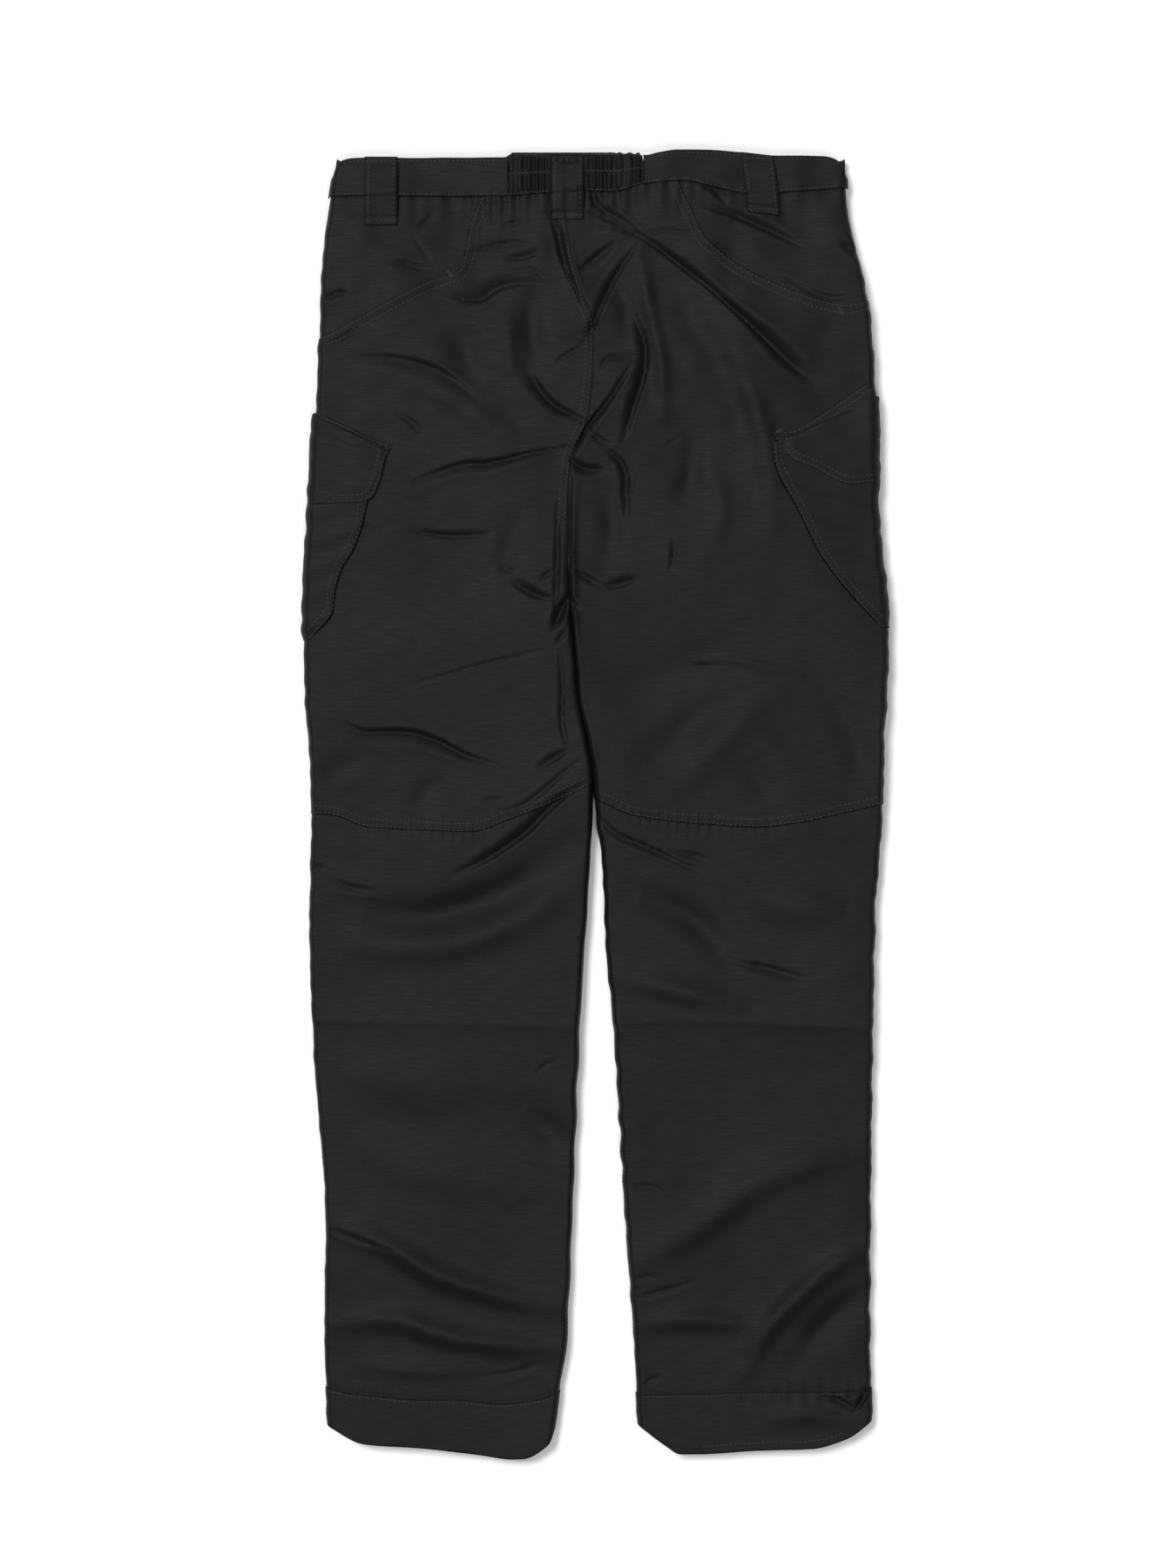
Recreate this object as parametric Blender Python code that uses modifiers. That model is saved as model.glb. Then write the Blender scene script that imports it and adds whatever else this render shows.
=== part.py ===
"""Ski pants, laid flat on their front: sewn panels, waistband, fly, pockets, hems and boot gaiters.

Frame: X across the garment, +X towards the wearer's right leg. +Y from the hems to the waist.
+Z up from the surface that the pants lie on. The back of the pants is on top.
The origin is at the bottom, in the middle of the whole outline. Everything is in metres.
"""

import math

import bmesh
import bpy
from mathutils import Vector

LEFT, RIGHT = -1, 1
SIDE_NAME = {LEFT: "left", RIGHT: "right"}

# Fabric thicknesses.
SHELL = 0.0012
WAISTBAND = 0.0016
HEM = 0.0016
LINING = 0.0006
POCKET_WALL = 0.0010
STRAP = 0.0010
CASING = 0.0008

SEAM_GAP = 0.0008  # between the edges of two panels that a seam joins
SIDE_GAP = 0.0020  # between the back and the front, measured on their outer faces at the side fold
LAYER_GAP = 0.0003  # between two pieces that lie on each other

# Lengthways stations, as Y.
WAIST_TOP = 0.5270
WAIST_SEAM = 0.4890
CROTCH_FLAT, CROTCH_CLOSED = 0.215, 0.120
KNEE_FOLD = -0.1740
HEM_SEAM = -0.4760
KNEE_AXIS = (0.1200, 0.0255)  # the distance out from the middle, and the height, of the axis of each knee fold
LOWER_LEG = ("back_calf_panel", "front_calf_panel", "hem_band", "boot_gaiter", "gaiter_elastic")

# The lie of the garment seen from above: (Y, X) stations, from the waist to the hems.
EDGE = {
    LEFT: [(0.5275, -0.2085), (0.478, -0.2130), (0.436, -0.2195), (0.296, -0.2235), (0.132, -0.2348),
           (0.016, -0.2297), (-0.174, -0.2290), (-0.334, -0.2180), (-0.530, -0.2160)],
    RIGHT: [(0.5275, 0.2005), (0.478, 0.2015), (0.401, 0.2180), (0.296, 0.2245), (0.132, 0.2349),
            (0.000, 0.2310), (-0.124, 0.2250), (-0.334, 0.2220), (-0.530, 0.2215)],
}
CENTRE = [(0.5275, -0.0245), (0.436, -0.0210), (0.331, -0.0080), (0.250, -0.0180), (0.163, -0.0210),
          (0.051, -0.0160), (0.000, -0.0020), (-0.174, 0.0000), (-0.530, 0.0015)]
HALF_GAP = [(0.020, 0.0008), (-0.054, 0.0050), (-0.174, 0.0130), (-0.334, 0.0210),
            (-0.439, 0.0266), (-0.530, 0.0360)]
LOFT = [(0.5275, 0.0200), (0.440, 0.0235), (0.360, 0.0260), (0.120, 0.0260), (-0.174, 0.0210),
        (-0.400, 0.0190), (-0.530, 0.0180)]
EDGE_ROUND = 0.0120  # how far in from its folded edge the fabric takes to lie flat
EDGE_ARC = 0.0195  # the length of cloth in that quarter turn

# Seams across a leg: Y at shares of the way from the outer edge to the inner one.
KNEE_SEAM = {LEFT: [(1.00, 0.0170), (0.84, -0.0010), (0.58, -0.0215), (0.20, -0.0185), (0.0, -0.0080)],
             RIGHT: [(1.00, 0.0005), (0.78, -0.0125), (0.50, -0.0175), (0.20, -0.0140), (0.0, 0.0002)]}
HEM_BOTTOM = {LEFT: [(1.00, -0.5035), (0.96, -0.5190), (0.84, -0.5276), (0.45, -0.5215), (0.12, -0.5140),
                     (0.00, -0.5035)],
              RIGHT: [(1.00, -0.5035), (0.94, -0.5160), (0.84, -0.5235), (0.28, -0.5180), (0.08, -0.5050),
                      (0.00, -0.4960)]}

# The back pockets: each slanting mouth runs from a corner near the centre to the side edge.
POCKET_CORNER = {LEFT: (-0.1090, 0.4360), RIGHT: (0.0910, 0.4500)}
POCKET_TOP_X = {LEFT: -0.1015, RIGHT: 0.0690}
POCKET_EDGE_Y = {LEFT: 0.3780, RIGHT: 0.3900}
BAG_BOTTOM = 0.3350

# The waistband's gathered middle, and the belt loops as (name, middle X, top Y, bottom Y).
ELASTIC_X = (-0.0700, 0.0420)
PLEATS = 16
PLEAT_DEPTH = 0.0006
BACK_LOOPS = [("belt_loop_back_left", -0.1750, 0.5200, 0.4650), ("belt_loop_back_centre", -0.0245, 0.5200, 0.4690),
              ("belt_loop_back_right", 0.1330, 0.5180, 0.4700)]
FRONT_LOOPS = [("belt_loop_front_left", -0.1250), ("belt_loop_front_right", 0.1050)]
FRONT_LOOP_Y = (0.4670, 0.5200)
LOOP_WIDTH = 0.0270
LOOP_TACK = 0.0065
BELT_ROOM = 0.0052

# The cargo pockets. The rear edge is (Y, X) points, and the top slopes up towards the side.
CARGO_REAR = {LEFT: [(0.2770, -0.1665), (0.1600, -0.2080), (0.1400, -0.2210)],
              RIGHT: [(0.2860, 0.1500), (0.1880, 0.1930), (0.1470, 0.2200)]}
CARGO_FACE = 0.0056
CARGO_SIDE = 0.0016
CARGO_SPLAY = 0.0015
FLAP = {LEFT: [(-0.1655, 0.2910), (-0.2145, 0.3142), (-0.2145, 0.2430), (-0.1855, 0.2454)],
        RIGHT: [(0.1440, 0.3000), (0.2130, 0.3378), (0.2130, 0.2590), (0.1545, 0.2785)]}
FLAP_THICK = 0.0010
FLAP_TOP = 0.0085
TAPE_PATCH = {LEFT: (-0.2060, 0.2520, -0.1860, 0.2680), RIGHT: (0.1700, 0.2770, 0.2000, 0.2920)}
TAPE_PATCH_THICK = 0.0005

# The fly and its zip, with heights from the bottom.
FLY_X = -0.0140
FLY_BOTTOM = 0.3250
FLY_HALF_OPENING = 0.0075
ZIP_TAPE_Y = (0.3180, 0.4850)
ZIP_COIL_Y = (0.3280, 0.4800)
ZIP_COIL_Z = (0.0051, 0.0071)
ZIP_COIL_X = (0.0008, 0.0033)
ZIP_TAPE_Z = (0.00585, 0.00635)
ZIP_TAPE_END = 0.0150
SLIDER_Y = 0.4680
SLIDER_HALF_WIDTH, SLIDER_HALF_LENGTH = 0.0045, 0.0060
PULL_Z = (0.0021, 0.0031)
PULL_HALF_WIDTH, PULL_LENGTH = 0.0030, 0.0180

# The waist tab over the underlap, and its snap fastener.
TAB_HINGE_X = -0.0700
TAB_X = (-0.0690, 0.0210)
TAB_Z = (0.0013, 0.0023)
UNDERLAP_END_X, UNDERLAP_Z = -0.0450, 0.0044
SNAP_X, SNAP_Y = -0.0100, 0.5080
SNAP_CAP_Z = (0.0002, 0.0010)

# What lies under the front and lifts it off the surface: (low X, high X, low Y, high Y, height).
UNDER_FRONT = [(FLY_X - 0.017, FLY_X + 0.017, 0.310, 0.489, 0.0042),
               (-0.143, -0.109, 0.460, 0.489, TAB_Z[0]), (0.087, 0.123, 0.460, 0.489, TAB_Z[0])]
UNDER_WAISTBAND = [(-0.143, -0.060, 0.480, 0.530, TAB_Z[0]), (0.087, 0.123, 0.480, 0.530, TAB_Z[0]),
                   (-0.050, 0.030, 0.480, 0.530, UNDERLAP_Z)]
LIFT_RUN = 0.025

COLOURS = {
    "shell_nylon": ((0.020, 0.020, 0.021), 0.55, 0.0),
    "lining_taffeta": ((0.045, 0.045, 0.048), 0.60, 0.0),
    "elastic_webbing": ((0.030, 0.030, 0.031), 0.80, 0.0),
    "hook_and_loop": ((0.015, 0.015, 0.016), 0.95, 0.0),
    "zip_tape": ((0.018, 0.018, 0.019), 0.75, 0.0),
    "zip_metal": ((0.080, 0.080, 0.085), 0.35, 1.0),
    "snap_metal": ((0.100, 0.100, 0.105), 0.30, 1.0),
}


# ---------------------------------------------------------------- the lie of the cloth

def smooth(stations):
    """A curve through (position, value) stations that never overshoots them."""
    pairs = sorted(stations)
    rise = [(b[1] - a[1]) / (b[0] - a[0]) for a, b in zip(pairs, pairs[1:])]
    slope = [rise[0]] + [0.0 if a * b <= 0 else 2 * a * b / (a + b) for a, b in zip(rise, rise[1:])] + [rise[-1]]

    def value(at):
        at = min(max(at, pairs[0][0]), pairs[-1][0])
        i = max(k for k in range(len(pairs) - 1) if pairs[k][0] <= at)
        (a, va), (b, vb) = pairs[i], pairs[i + 1]
        t = (at - a) / (b - a)
        return ((2 * t**3 - 3 * t**2 + 1) * va + (t**3 - 2 * t**2 + t) * (b - a) * slope[i]
                + (3 * t**2 - 2 * t**3) * vb + (t**3 - t**2) * (b - a) * slope[i + 1])

    return value


def ease(low, high, at):
    """0 below low, 1 above high, and a smooth rise between. With low above high it falls."""
    t = min(max((at - low) / (high - low), 0.0), 1.0)
    return t * t * (3 - 2 * t)


def spread(low, high, steps):
    return [low + (high - low) * i / steps for i in range(steps + 1)]


edge_x = {side: smooth(EDGE[side]) for side in EDGE}
centre_x = smooth(CENTRE)
half_gap = smooth(HALF_GAP)
loft = smooth(LOFT)
knee_share = {side: smooth(KNEE_SEAM[side]) for side in KNEE_SEAM}
hem_share = {side: smooth(HEM_BOTTOM[side]) for side in HEM_BOTTOM}


def inner_x(side, y):
    """Where a half ends towards the middle: at the centre back seam, or at the inseam of its leg."""
    return centre_x(y) + side * half_gap(y)


def front_inner_x(side, y):
    """As inner_x for the front, whose centre seam is straight along the fly and opens round the zip."""
    middle = centre_x(y) + (FLY_X - centre_x(y)) * ease(0.220, 0.310, y)
    opening = FLY_HALF_OPENING * ease(FLY_BOTTOM - 0.006, FLY_BOTTOM, y)
    return middle + side * max(half_gap(y), opening)


def raised(things, x, y):
    """How high the cloth at (x, y) is held by the things under it."""
    height = 0.0
    for low_x, high_x, low_y, high_y, top in things:
        away = math.hypot(max(low_x - x, x - high_x, 0), max(low_y - y, y - high_y, 0))
        height = max(height, top * ease(LIFT_RUN, 0, away))
    return height


def front_lift(side, x, y):
    return raised(UNDER_FRONT, x, y)


def waist_lift(side, x, y):
    """The tab lies lowest, on the left. The underlap, from the right, is held above it."""
    return raised(UNDER_WAISTBAND[:2] if side == LEFT else UNDER_WAISTBAND[1:], x, y)


def profile(across, span, closing):
    """Distance in from the side edge, and drop from the flat as a share of half the height.

    across is 0 at the folded side edge, 1 to 2 over the flat, and 3 at the inner edge.
    """
    if across <= 1:
        angle = across * math.pi / 2
        return EDGE_ROUND * (1 - math.cos(angle)), 1 - math.sin(angle)
    if across <= 2 or closing is None:
        reach = span - EDGE_ROUND * (1 if closing is None else 2)
        return EDGE_ROUND + reach * (across - 1), 0.0
    angle = (3 - across) * math.pi / 2
    return span - EDGE_ROUND * (1 - math.cos(angle)), closing * (1 - math.sin(angle))


def cloth_point(side, face, across, y, end=None, lift=front_lift):
    """A point of a panel's outer face. end(y) is the X where the panel stops short."""
    edge = edge_x[side](y)
    stop = end(y) if end else (inner_x if face == "back" else front_inner_x)(side, y)
    closing = None if end else ease(CROTCH_FLAT, CROTCH_CLOSED, y)
    along, drop = profile(across, abs(stop - edge), closing)
    x, height = edge - side * along, loft(y)
    if face == "back":
        return Vector((x, y, max(height - drop * height / 2, (height + SIDE_GAP) / 2)))
    base = lift(side, x, y)
    return Vector((x, y, min(base + drop * (height / 2 - base), (height - SIDE_GAP) / 2)))


def share_of(side, x, y):
    """How far x is from the outer edge of the leg to its inner edge."""
    edge = edge_x[side](y)
    return min(max((x - edge) / (inner_x(side, y) - edge), 0.0), 1.0)


# ---------------------------------------------------------------- building pieces

def new_material(name):
    colour, roughness, metallic = COLOURS[name]
    material = bpy.data.materials.new(name)
    material.use_nodes = True
    shader = material.node_tree.nodes["Principled BSDF"]
    shader.inputs["Base Color"].default_value = (*colour, 1.0)
    shader.inputs["Roughness"].default_value = roughness
    shader.inputs["Metallic"].default_value = metallic
    return material


for startup_object in list(bpy.data.objects):
    bpy.data.objects.remove(startup_object, do_unlink=True)

MATERIALS = {name: new_material(name) for name in COLOURS}
PANTS = bpy.data.collections.new("ski_pants")
CUTTERS = bpy.data.collections.new("cutters")
for collection in (PANTS, CUTTERS):
    bpy.context.scene.collection.children.link(collection)


def keep(obj, name, material):
    """Files an object under its node name, with its own material."""
    obj.name = name
    obj.data.name = name
    for old in list(obj.users_collection):
        old.objects.unlink(obj)
    PANTS.objects.link(obj)
    own = MATERIALS[material].copy()
    own.name = name
    obj.data.materials.clear()
    obj.data.materials.append(own)
    return obj


def sheet(name, rows, thickness, material, inside, closed=False):
    """Cloth through rows of points on its outer face, thickened towards the point called inside."""
    bm = bmesh.new()
    grid = [[bm.verts.new(point) for point in row] for row in rows]
    width = len(grid[0])
    for upper, lower in zip(grid, grid[1:]):
        for j in range(width if closed else width - 1):
            k = (j + 1) % width
            bm.faces.new((upper[j], upper[k], lower[k], lower[j]))
    bm.normal_update()
    outward = sum((f.calc_center_median() - inside).dot(f.normal) * f.calc_area() for f in bm.faces)
    if outward < 0:
        bmesh.ops.reverse_faces(bm, faces=bm.faces)
    mesh = bpy.data.meshes.new(name)
    bm.to_mesh(mesh)
    bm.free()
    mesh.shade_smooth()
    obj = keep(bpy.data.objects.new(name, mesh), name, material)
    solidify = obj.modifiers.new("thickness", "SOLIDIFY")
    solidify.thickness = thickness
    solidify.offset = -1
    solidify.use_even_offset = True
    return obj


def plate(name, outline, z_range, material, holes=(), at=(0, 0)):
    """A flat piece between two heights, from its outline and its holes, drawn about the point at."""
    curve = bpy.data.curves.new(name, "CURVE")
    curve.dimensions = "2D"
    curve.fill_mode = "BOTH"
    curve.extrude = (z_range[1] - z_range[0]) / 2
    for points in (outline, *holes):
        spline = curve.splines.new("POLY")
        spline.points.add(len(points) - 1)
        for point, (x, y) in zip(spline.points, points):
            point.co = (x, y, 0, 1)
        spline.use_cyclic_u = True
    obj = bpy.data.objects.new(name, curve)
    obj.location = (*at, sum(z_range) / 2)
    return keep(obj, name, material)


def rectangle(low_x, low_y, high_x, high_y):
    return [(low_x, low_y), (high_x, low_y), (high_x, high_y), (low_x, high_y)]


def disc(name, radius, z_range, hole=0.0):
    """A round part of the snap fastener, with an optional hole."""
    turns = [math.tau * i / 24 for i in range(24)]
    circle = [(radius * math.cos(a), radius * math.sin(a)) for a in turns]
    holes = [[(hole * math.cos(a), hole * math.sin(a)) for a in turns]] if hole else []
    return plate(name, circle, z_range, "snap_metal", holes, (SNAP_X, SNAP_Y))


def block(x_range, y_range, z_range):
    low, high = (Vector(corner) for corner in zip(x_range, y_range, z_range))
    bpy.ops.mesh.primitive_cube_add(size=1, location=(low + high) / 2)
    obj = bpy.context.object
    obj.scale = high - low
    bpy.ops.object.transform_apply(location=False, rotation=False, scale=True)
    return obj


def joined(name, blocks, material, origin=None):
    """The first block with the others unioned to it. origin moves the object's origin, not its shape."""
    base, *others = blocks
    keep(base, name, material)
    for i, other in enumerate(others):
        for old in list(other.users_collection):
            old.objects.unlink(other)
        CUTTERS.objects.link(other)
        other.name = f"{name}_part_{i + 1}"
        other.hide_render = True
        other.display_type = "WIRE"
        union = base.modifiers.new("join", "BOOLEAN")
        union.operation = "UNION"
        union.object = other
    if origin:
        put_origin(base, origin)
    return base


def put_origin(obj, point):
    """Moves a mesh object's origin to a point, such as one on its joint's axis."""
    shift = Vector(point) - obj.location
    for vertex in obj.data.vertices:
        vertex.co -= shift
    obj.location = Vector(point)


def turn_with(parent, *children):
    """Parents the children to a piece or an empty on the axis that they turn about, where they are."""
    bpy.context.view_layer.update()
    for child in children:
        child.parent = parent
        child.matrix_parent_inverse = parent.matrix_world.inverted()


def axis_empty(name, point):
    empty = bpy.data.objects.new(name, None)
    empty.location = point
    empty.empty_display_size = 0.02
    PANTS.objects.link(empty)
    return empty


def inside_of(side, y):
    return Vector(((edge_x[side](y) + inner_x(side, y)) / 2, y, loft(y) / 2))


ROUNDED = [0, 1 / 3, 2 / 3]
WHOLE = ROUNDED + [1, 1.2, 1.4, 1.6, 1.8, 2, 7 / 3, 8 / 3, 3]
TO_AN_END = ROUNDED + [1, 1.33, 1.66, 2]


def panel(name, side, face, top, bottom, shares, columns=WHOLE, end=None, lift=front_lift, thickness=SHELL):
    """A panel between two cross seams. top(x, y) and bottom(x, y) give the seams' Y."""
    grid = []
    for share in shares:
        row = []
        for across in columns:
            y = WAIST_SEAM
            for _ in range(4):
                high = low = y
                for _ in range(3):
                    high = top(cloth_point(side, face, across, high, end, lift).x)
                    low = bottom(cloth_point(side, face, across, low, end, lift).x)
                y = high + (low - high) * share
            row.append(cloth_point(side, face, across, y, end, lift))
        grid.append(row)
    middle = (grid[0][0].y + grid[-1][0].y) / 2
    return sheet(name, grid, thickness, "shell_nylon", inside_of(side, middle))


def level(y):
    return lambda x: y


def rows_at(top, bottom, ys):
    """The shares of the way down a panel that put its rows at these Y."""
    return [0.0] + [(top - y) / (top - bottom) for y in ys] + [1.0]


def knee_line(side, shift):
    return lambda x: knee_share[side](share_of(side, x, -0.01)) + shift


def tube(name, side, ys, thickness, material, inset_x=level(0.0), inset_z=level(0.0), bottom=None):
    """A sleeve inside a leg's outline, set in from it by inset_x(y) and inset_z(y)."""
    turns = [(a, 1) for a in WHOLE] + [(a, -1) for a in reversed(WHOLE[1:-1])]
    grid = []
    for i, station in enumerate(ys):
        row = []
        for across, up in turns:
            y = station
            for _ in range(3 if bottom else 1):
                edge, inner = edge_x[side](y) - side * inset_x(y), inner_x(side, y) + side * inset_x(y)
                along, drop = profile(across, abs(inner - edge), 1.0)
                x = edge - side * along
                if bottom and i == len(ys) - 1:
                    y = bottom(share_of(side, x, -0.49))
            half = loft(y) / 2 - inset_z(y)
            row.append(Vector((x, y, loft(y) / 2 + up * half * (1 - drop))))
        grid.append(row)
    return sheet(name, grid, thickness, material, inside_of(side, ys[len(ys) // 2]), closed=True)


# ---------------------------------------------------------------- the shell

def mouth_line(side, shift, to_waist=True):
    """A back pocket's lower edge, as Y over X: the slanting mouth, then the steep seam up to the waist."""
    corner_x, corner_y = POCKET_CORNER[side]
    corner_x -= side * shift
    top_x = POCKET_TOP_X[side] - side * shift

    def line(x):
        if side * (x - corner_x) >= 0:
            run = edge_x[side](POCKET_EDGE_Y[side]) - corner_x
            along = min((x - corner_x) / run, 1.0)
            return corner_y + (POCKET_EDGE_Y[side] - corner_y) * along - shift
        if not to_waist:
            return corner_y - shift
        along = min((x - corner_x) / (top_x - corner_x), 1.0)
        return corner_y - shift + (WAIST_SEAM - SEAM_GAP / 2 - corner_y + shift) * along

    return line


def steep_x(side):
    corner_x, corner_y = POCKET_CORNER[side]
    top_x = POCKET_TOP_X[side]
    return lambda y: corner_x + (top_x - corner_x) * min(max((y - corner_y) / (WAIST_SEAM - corner_y), 0), 1)


def across_at(side, x, y):
    """The across value at which a back panel's flat passes through (x, y)."""
    edge = edge_x[side](y)
    return 1 + (abs(x - edge) - EDGE_ROUND) / (abs(inner_x(side, y) - edge) - 2 * EDGE_ROUND)


def make_shell(side):
    name = SIDE_NAME[side]
    waist, gap = WAIST_SEAM - SEAM_GAP / 2, SEAM_GAP / 2
    panel(f"{name}_back_pocket_facing", side, "back", level(waist), mouth_line(side, 0.0, to_waist=False),
          spread(0, 1, 4), TO_AN_END, end=steep_x(side))
    corner = across_at(side, POCKET_CORNER[side][0] - side * SEAM_GAP, POCKET_CORNER[side][1])
    top = across_at(side, POCKET_TOP_X[side] - side * SEAM_GAP, waist)
    columns = (ROUNDED + spread(1, corner, 2) + [top] + spread(top, 2, 3)[1:] + [7 / 3, 8 / 3, 3])
    panel(f"{name}_back_thigh_panel", side, "back", mouth_line(side, SEAM_GAP), knee_line(side, gap),
          spread(0, 1, 14), columns)
    panel(f"{name}_back_knee_panel", side, "back", knee_line(side, -gap), level(KNEE_FOLD + gap), spread(0, 1, 4),
          columns)
    panel(f"{name}_back_calf_panel", side, "back", level(KNEE_FOLD - gap), level(HEM_SEAM + gap), spread(0, 1, 6))
    front_rows = rows_at(waist, KNEE_FOLD + gap, [0.460, 0.435, 0.40, 0.36, FLY_BOTTOM, FLY_BOTTOM - 0.006, 0.310,
                                                  0.285, 0.25, 0.215, 0.19, 0.167, 0.143, 0.12, 0.08, 0.04, 0.0,
                                                  -0.06, -0.12])
    panel(f"{name}_front_thigh_panel", side, "front", level(waist), level(KNEE_FOLD + gap), front_rows,
          ROUNDED + spread(1, 2, 9) + [7 / 3, 8 / 3, 3])
    panel(f"{name}_front_calf_panel", side, "front", level(KNEE_FOLD - gap), level(HEM_SEAM + gap), spread(0, 1, 6))
    tube(f"{name}_hem_band", side, [HEM_SEAM - gap, -0.490, -0.500], HEM, "shell_nylon", bottom=hem_share[side])


def make_gaiter(side):
    """The inner cuff that closes over a boot, and the elastic round its bottom edge."""
    name = SIDE_NAME[side]
    gather = smooth([(-0.400, 0.0035), (-0.450, 0.0070), (-0.495, 0.0230)])
    sink = smooth([(-0.400, 0.0020), (-0.495, 0.0030)])
    tube(f"{name}_boot_gaiter", side, spread(-0.402, -0.492, 4), LINING, "lining_taffeta", gather, sink)
    tube(f"{name}_gaiter_elastic", side, [-0.480, -0.491], 0.0008, "elastic_webbing",
         lambda y: gather(y) + 0.0016, lambda y: sink(y) + 0.0010)


def make_pocket_bag(side):
    """A back pocket's bag: two layers of lining lying flat together inside the thigh."""
    corner_x = POCKET_CORNER[side][0] - side * 0.008
    rows = []
    for share in spread(0, 1, 4):
        row = []
        for step in spread(0, 1, 3):
            x = corner_x + (edge_x[side](0.4) - side * 0.017 - corner_x) * step
            top = POCKET_CORNER[side][1] + (POCKET_EDGE_Y[side] - POCKET_CORNER[side][1]) * step + 0.006
            y = top + (BAG_BOTTOM + 0.010 * math.cos(step * math.pi) - top) * share
            row.append(Vector((x, y, loft(y) - SHELL - 2 * LAYER_GAP)))
        rows.append(row)
    sheet(f"{SIDE_NAME[side]}_back_pocket_bag", rows, 2 * LINING, "lining_taffeta", Vector((corner_x, 0.4, -1)))


# ---------------------------------------------------------------- the waistband

def make_waistband():
    top, bottom = level(WAIST_TOP), level(WAIST_SEAM + SEAM_GAP / 2)
    pieces = [("waistband_back_left", LEFT, "back", ELASTIC_X[0] - SEAM_GAP / 2),
              ("waistband_back_right", RIGHT, "back", ELASTIC_X[1] + SEAM_GAP / 2),
              ("waistband_front_left", LEFT, "front", TAB_HINGE_X - SEAM_GAP / 2),
              ("waistband_front_right", RIGHT, "front", UNDERLAP_END_X)]
    for name, side, face, stop in pieces:
        columns = TO_AN_END if face == "back" else ROUNDED + spread(1, 2, 10)
        panel(name, side, face, top, bottom, spread(0, 1, 2), columns, end=level(stop), lift=waist_lift,
              thickness=WAISTBAND)


def make_elastic_waist():
    """The gathered casing at the centre back, and the elastic strip inside it."""
    left, right = ELASTIC_X[0] + SEAM_GAP / 2, ELASTIC_X[1] - SEAM_GAP / 2
    rows = [[Vector((x, y, loft(y) + PLEAT_DEPTH * math.sin(math.pi / 2 * i)))
             for i, x in enumerate(spread(left, right, 4 * PLEATS))]
            for y in (WAIST_TOP, (WAIST_TOP + WAIST_SEAM) / 2, WAIST_SEAM + SEAM_GAP / 2)]
    sheet("waist_elastic_casing", rows, CASING, "shell_nylon", Vector(((left + right) / 2, WAIST_SEAM, -1)))
    high = loft(WAIST_TOP) - PLEAT_DEPTH - CASING - LAYER_GAP
    strip = block((left + 0.001, right - 0.001), (WAIST_SEAM + 0.003, WAIST_TOP - 0.003), (high - 0.001, high))
    keep(strip, "waist_elastic", "elastic_webbing")


def make_belt_loops():
    """The back loops stand off the waistband to take a belt. The front ones are pressed flat under it."""
    half = LOOP_WIDTH / 2
    for name, x, top, bottom in BACK_LOOPS:
        proud = LAYER_GAP + STRAP + (PLEAT_DEPTH if "centre" in name else 0.0)
        crest = loft(WAIST_SEAM) + proud + BELT_ROOM
        side_view = [(top, loft(top) + proud), (top - LOOP_TACK, loft(top - LOOP_TACK) + proud),
                     (top - LOOP_TACK - 0.001, crest), (bottom + LOOP_TACK + 0.001, crest),
                     (bottom + LOOP_TACK, loft(bottom) + proud), (bottom, loft(bottom) + proud)]
        rows = [[Vector((x + dx, y, z)) for dx in (-half, half)] for y, z in side_view]
        sheet(name, rows, STRAP, "shell_nylon", Vector((x, (top + bottom) / 2, -1)))
    for name, x in FRONT_LOOPS:
        plate(name, rectangle(x - half, FRONT_LOOP_Y[0], x + half, FRONT_LOOP_Y[1]), (0.0, STRAP), "shell_nylon")


def make_waist_tab():
    """The overlap that closes the waist, swinging about its sewn end, with the snap fastener through it."""
    low, high = WAIST_SEAM + SEAM_GAP / 2, WAIST_TOP
    near, far = TAB_X[0] - TAB_HINGE_X, TAB_X[1] - TAB_HINGE_X
    outline = [(near, low), (far - 0.008, low), (far, low + 0.008), (far, high - 0.008), (far - 0.008, high),
               (near, high)]
    tab = plate("waist_tab", outline, TAB_Z, "shell_nylon", at=(TAB_HINGE_X, 0))
    cap = disc("snap_cap", 0.0070, SNAP_CAP_Z)
    socket = disc("snap_socket", 0.0052, (TAB_Z[1] + LAYER_GAP, TAB_Z[1] + 0.0013), hole=0.0034)
    turn_with(tab, cap, socket)
    disc("snap_stud", 0.0026, (TAB_Z[1] + 0.0005, UNDERLAP_Z - LAYER_GAP))
    over = UNDERLAP_Z + WAISTBAND + LAYER_GAP
    disc("snap_back_plate", 0.0052, (over, over + 0.0008))


# ---------------------------------------------------------------- the fly

def make_zip_tape(side):
    """A woven tape with a row of coil along its edge."""
    def beside(near, far):
        return sorted((FLY_X + side * near, FLY_X + side * far))

    joined(f"zip_tape_{SIDE_NAME[side]}",
           [block(beside(ZIP_COIL_X[1] - 0.0005, ZIP_TAPE_END), ZIP_TAPE_Y, ZIP_TAPE_Z),
            block(beside(*ZIP_COIL_X), ZIP_COIL_Y, ZIP_COIL_Z)], "zip_tape")


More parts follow.
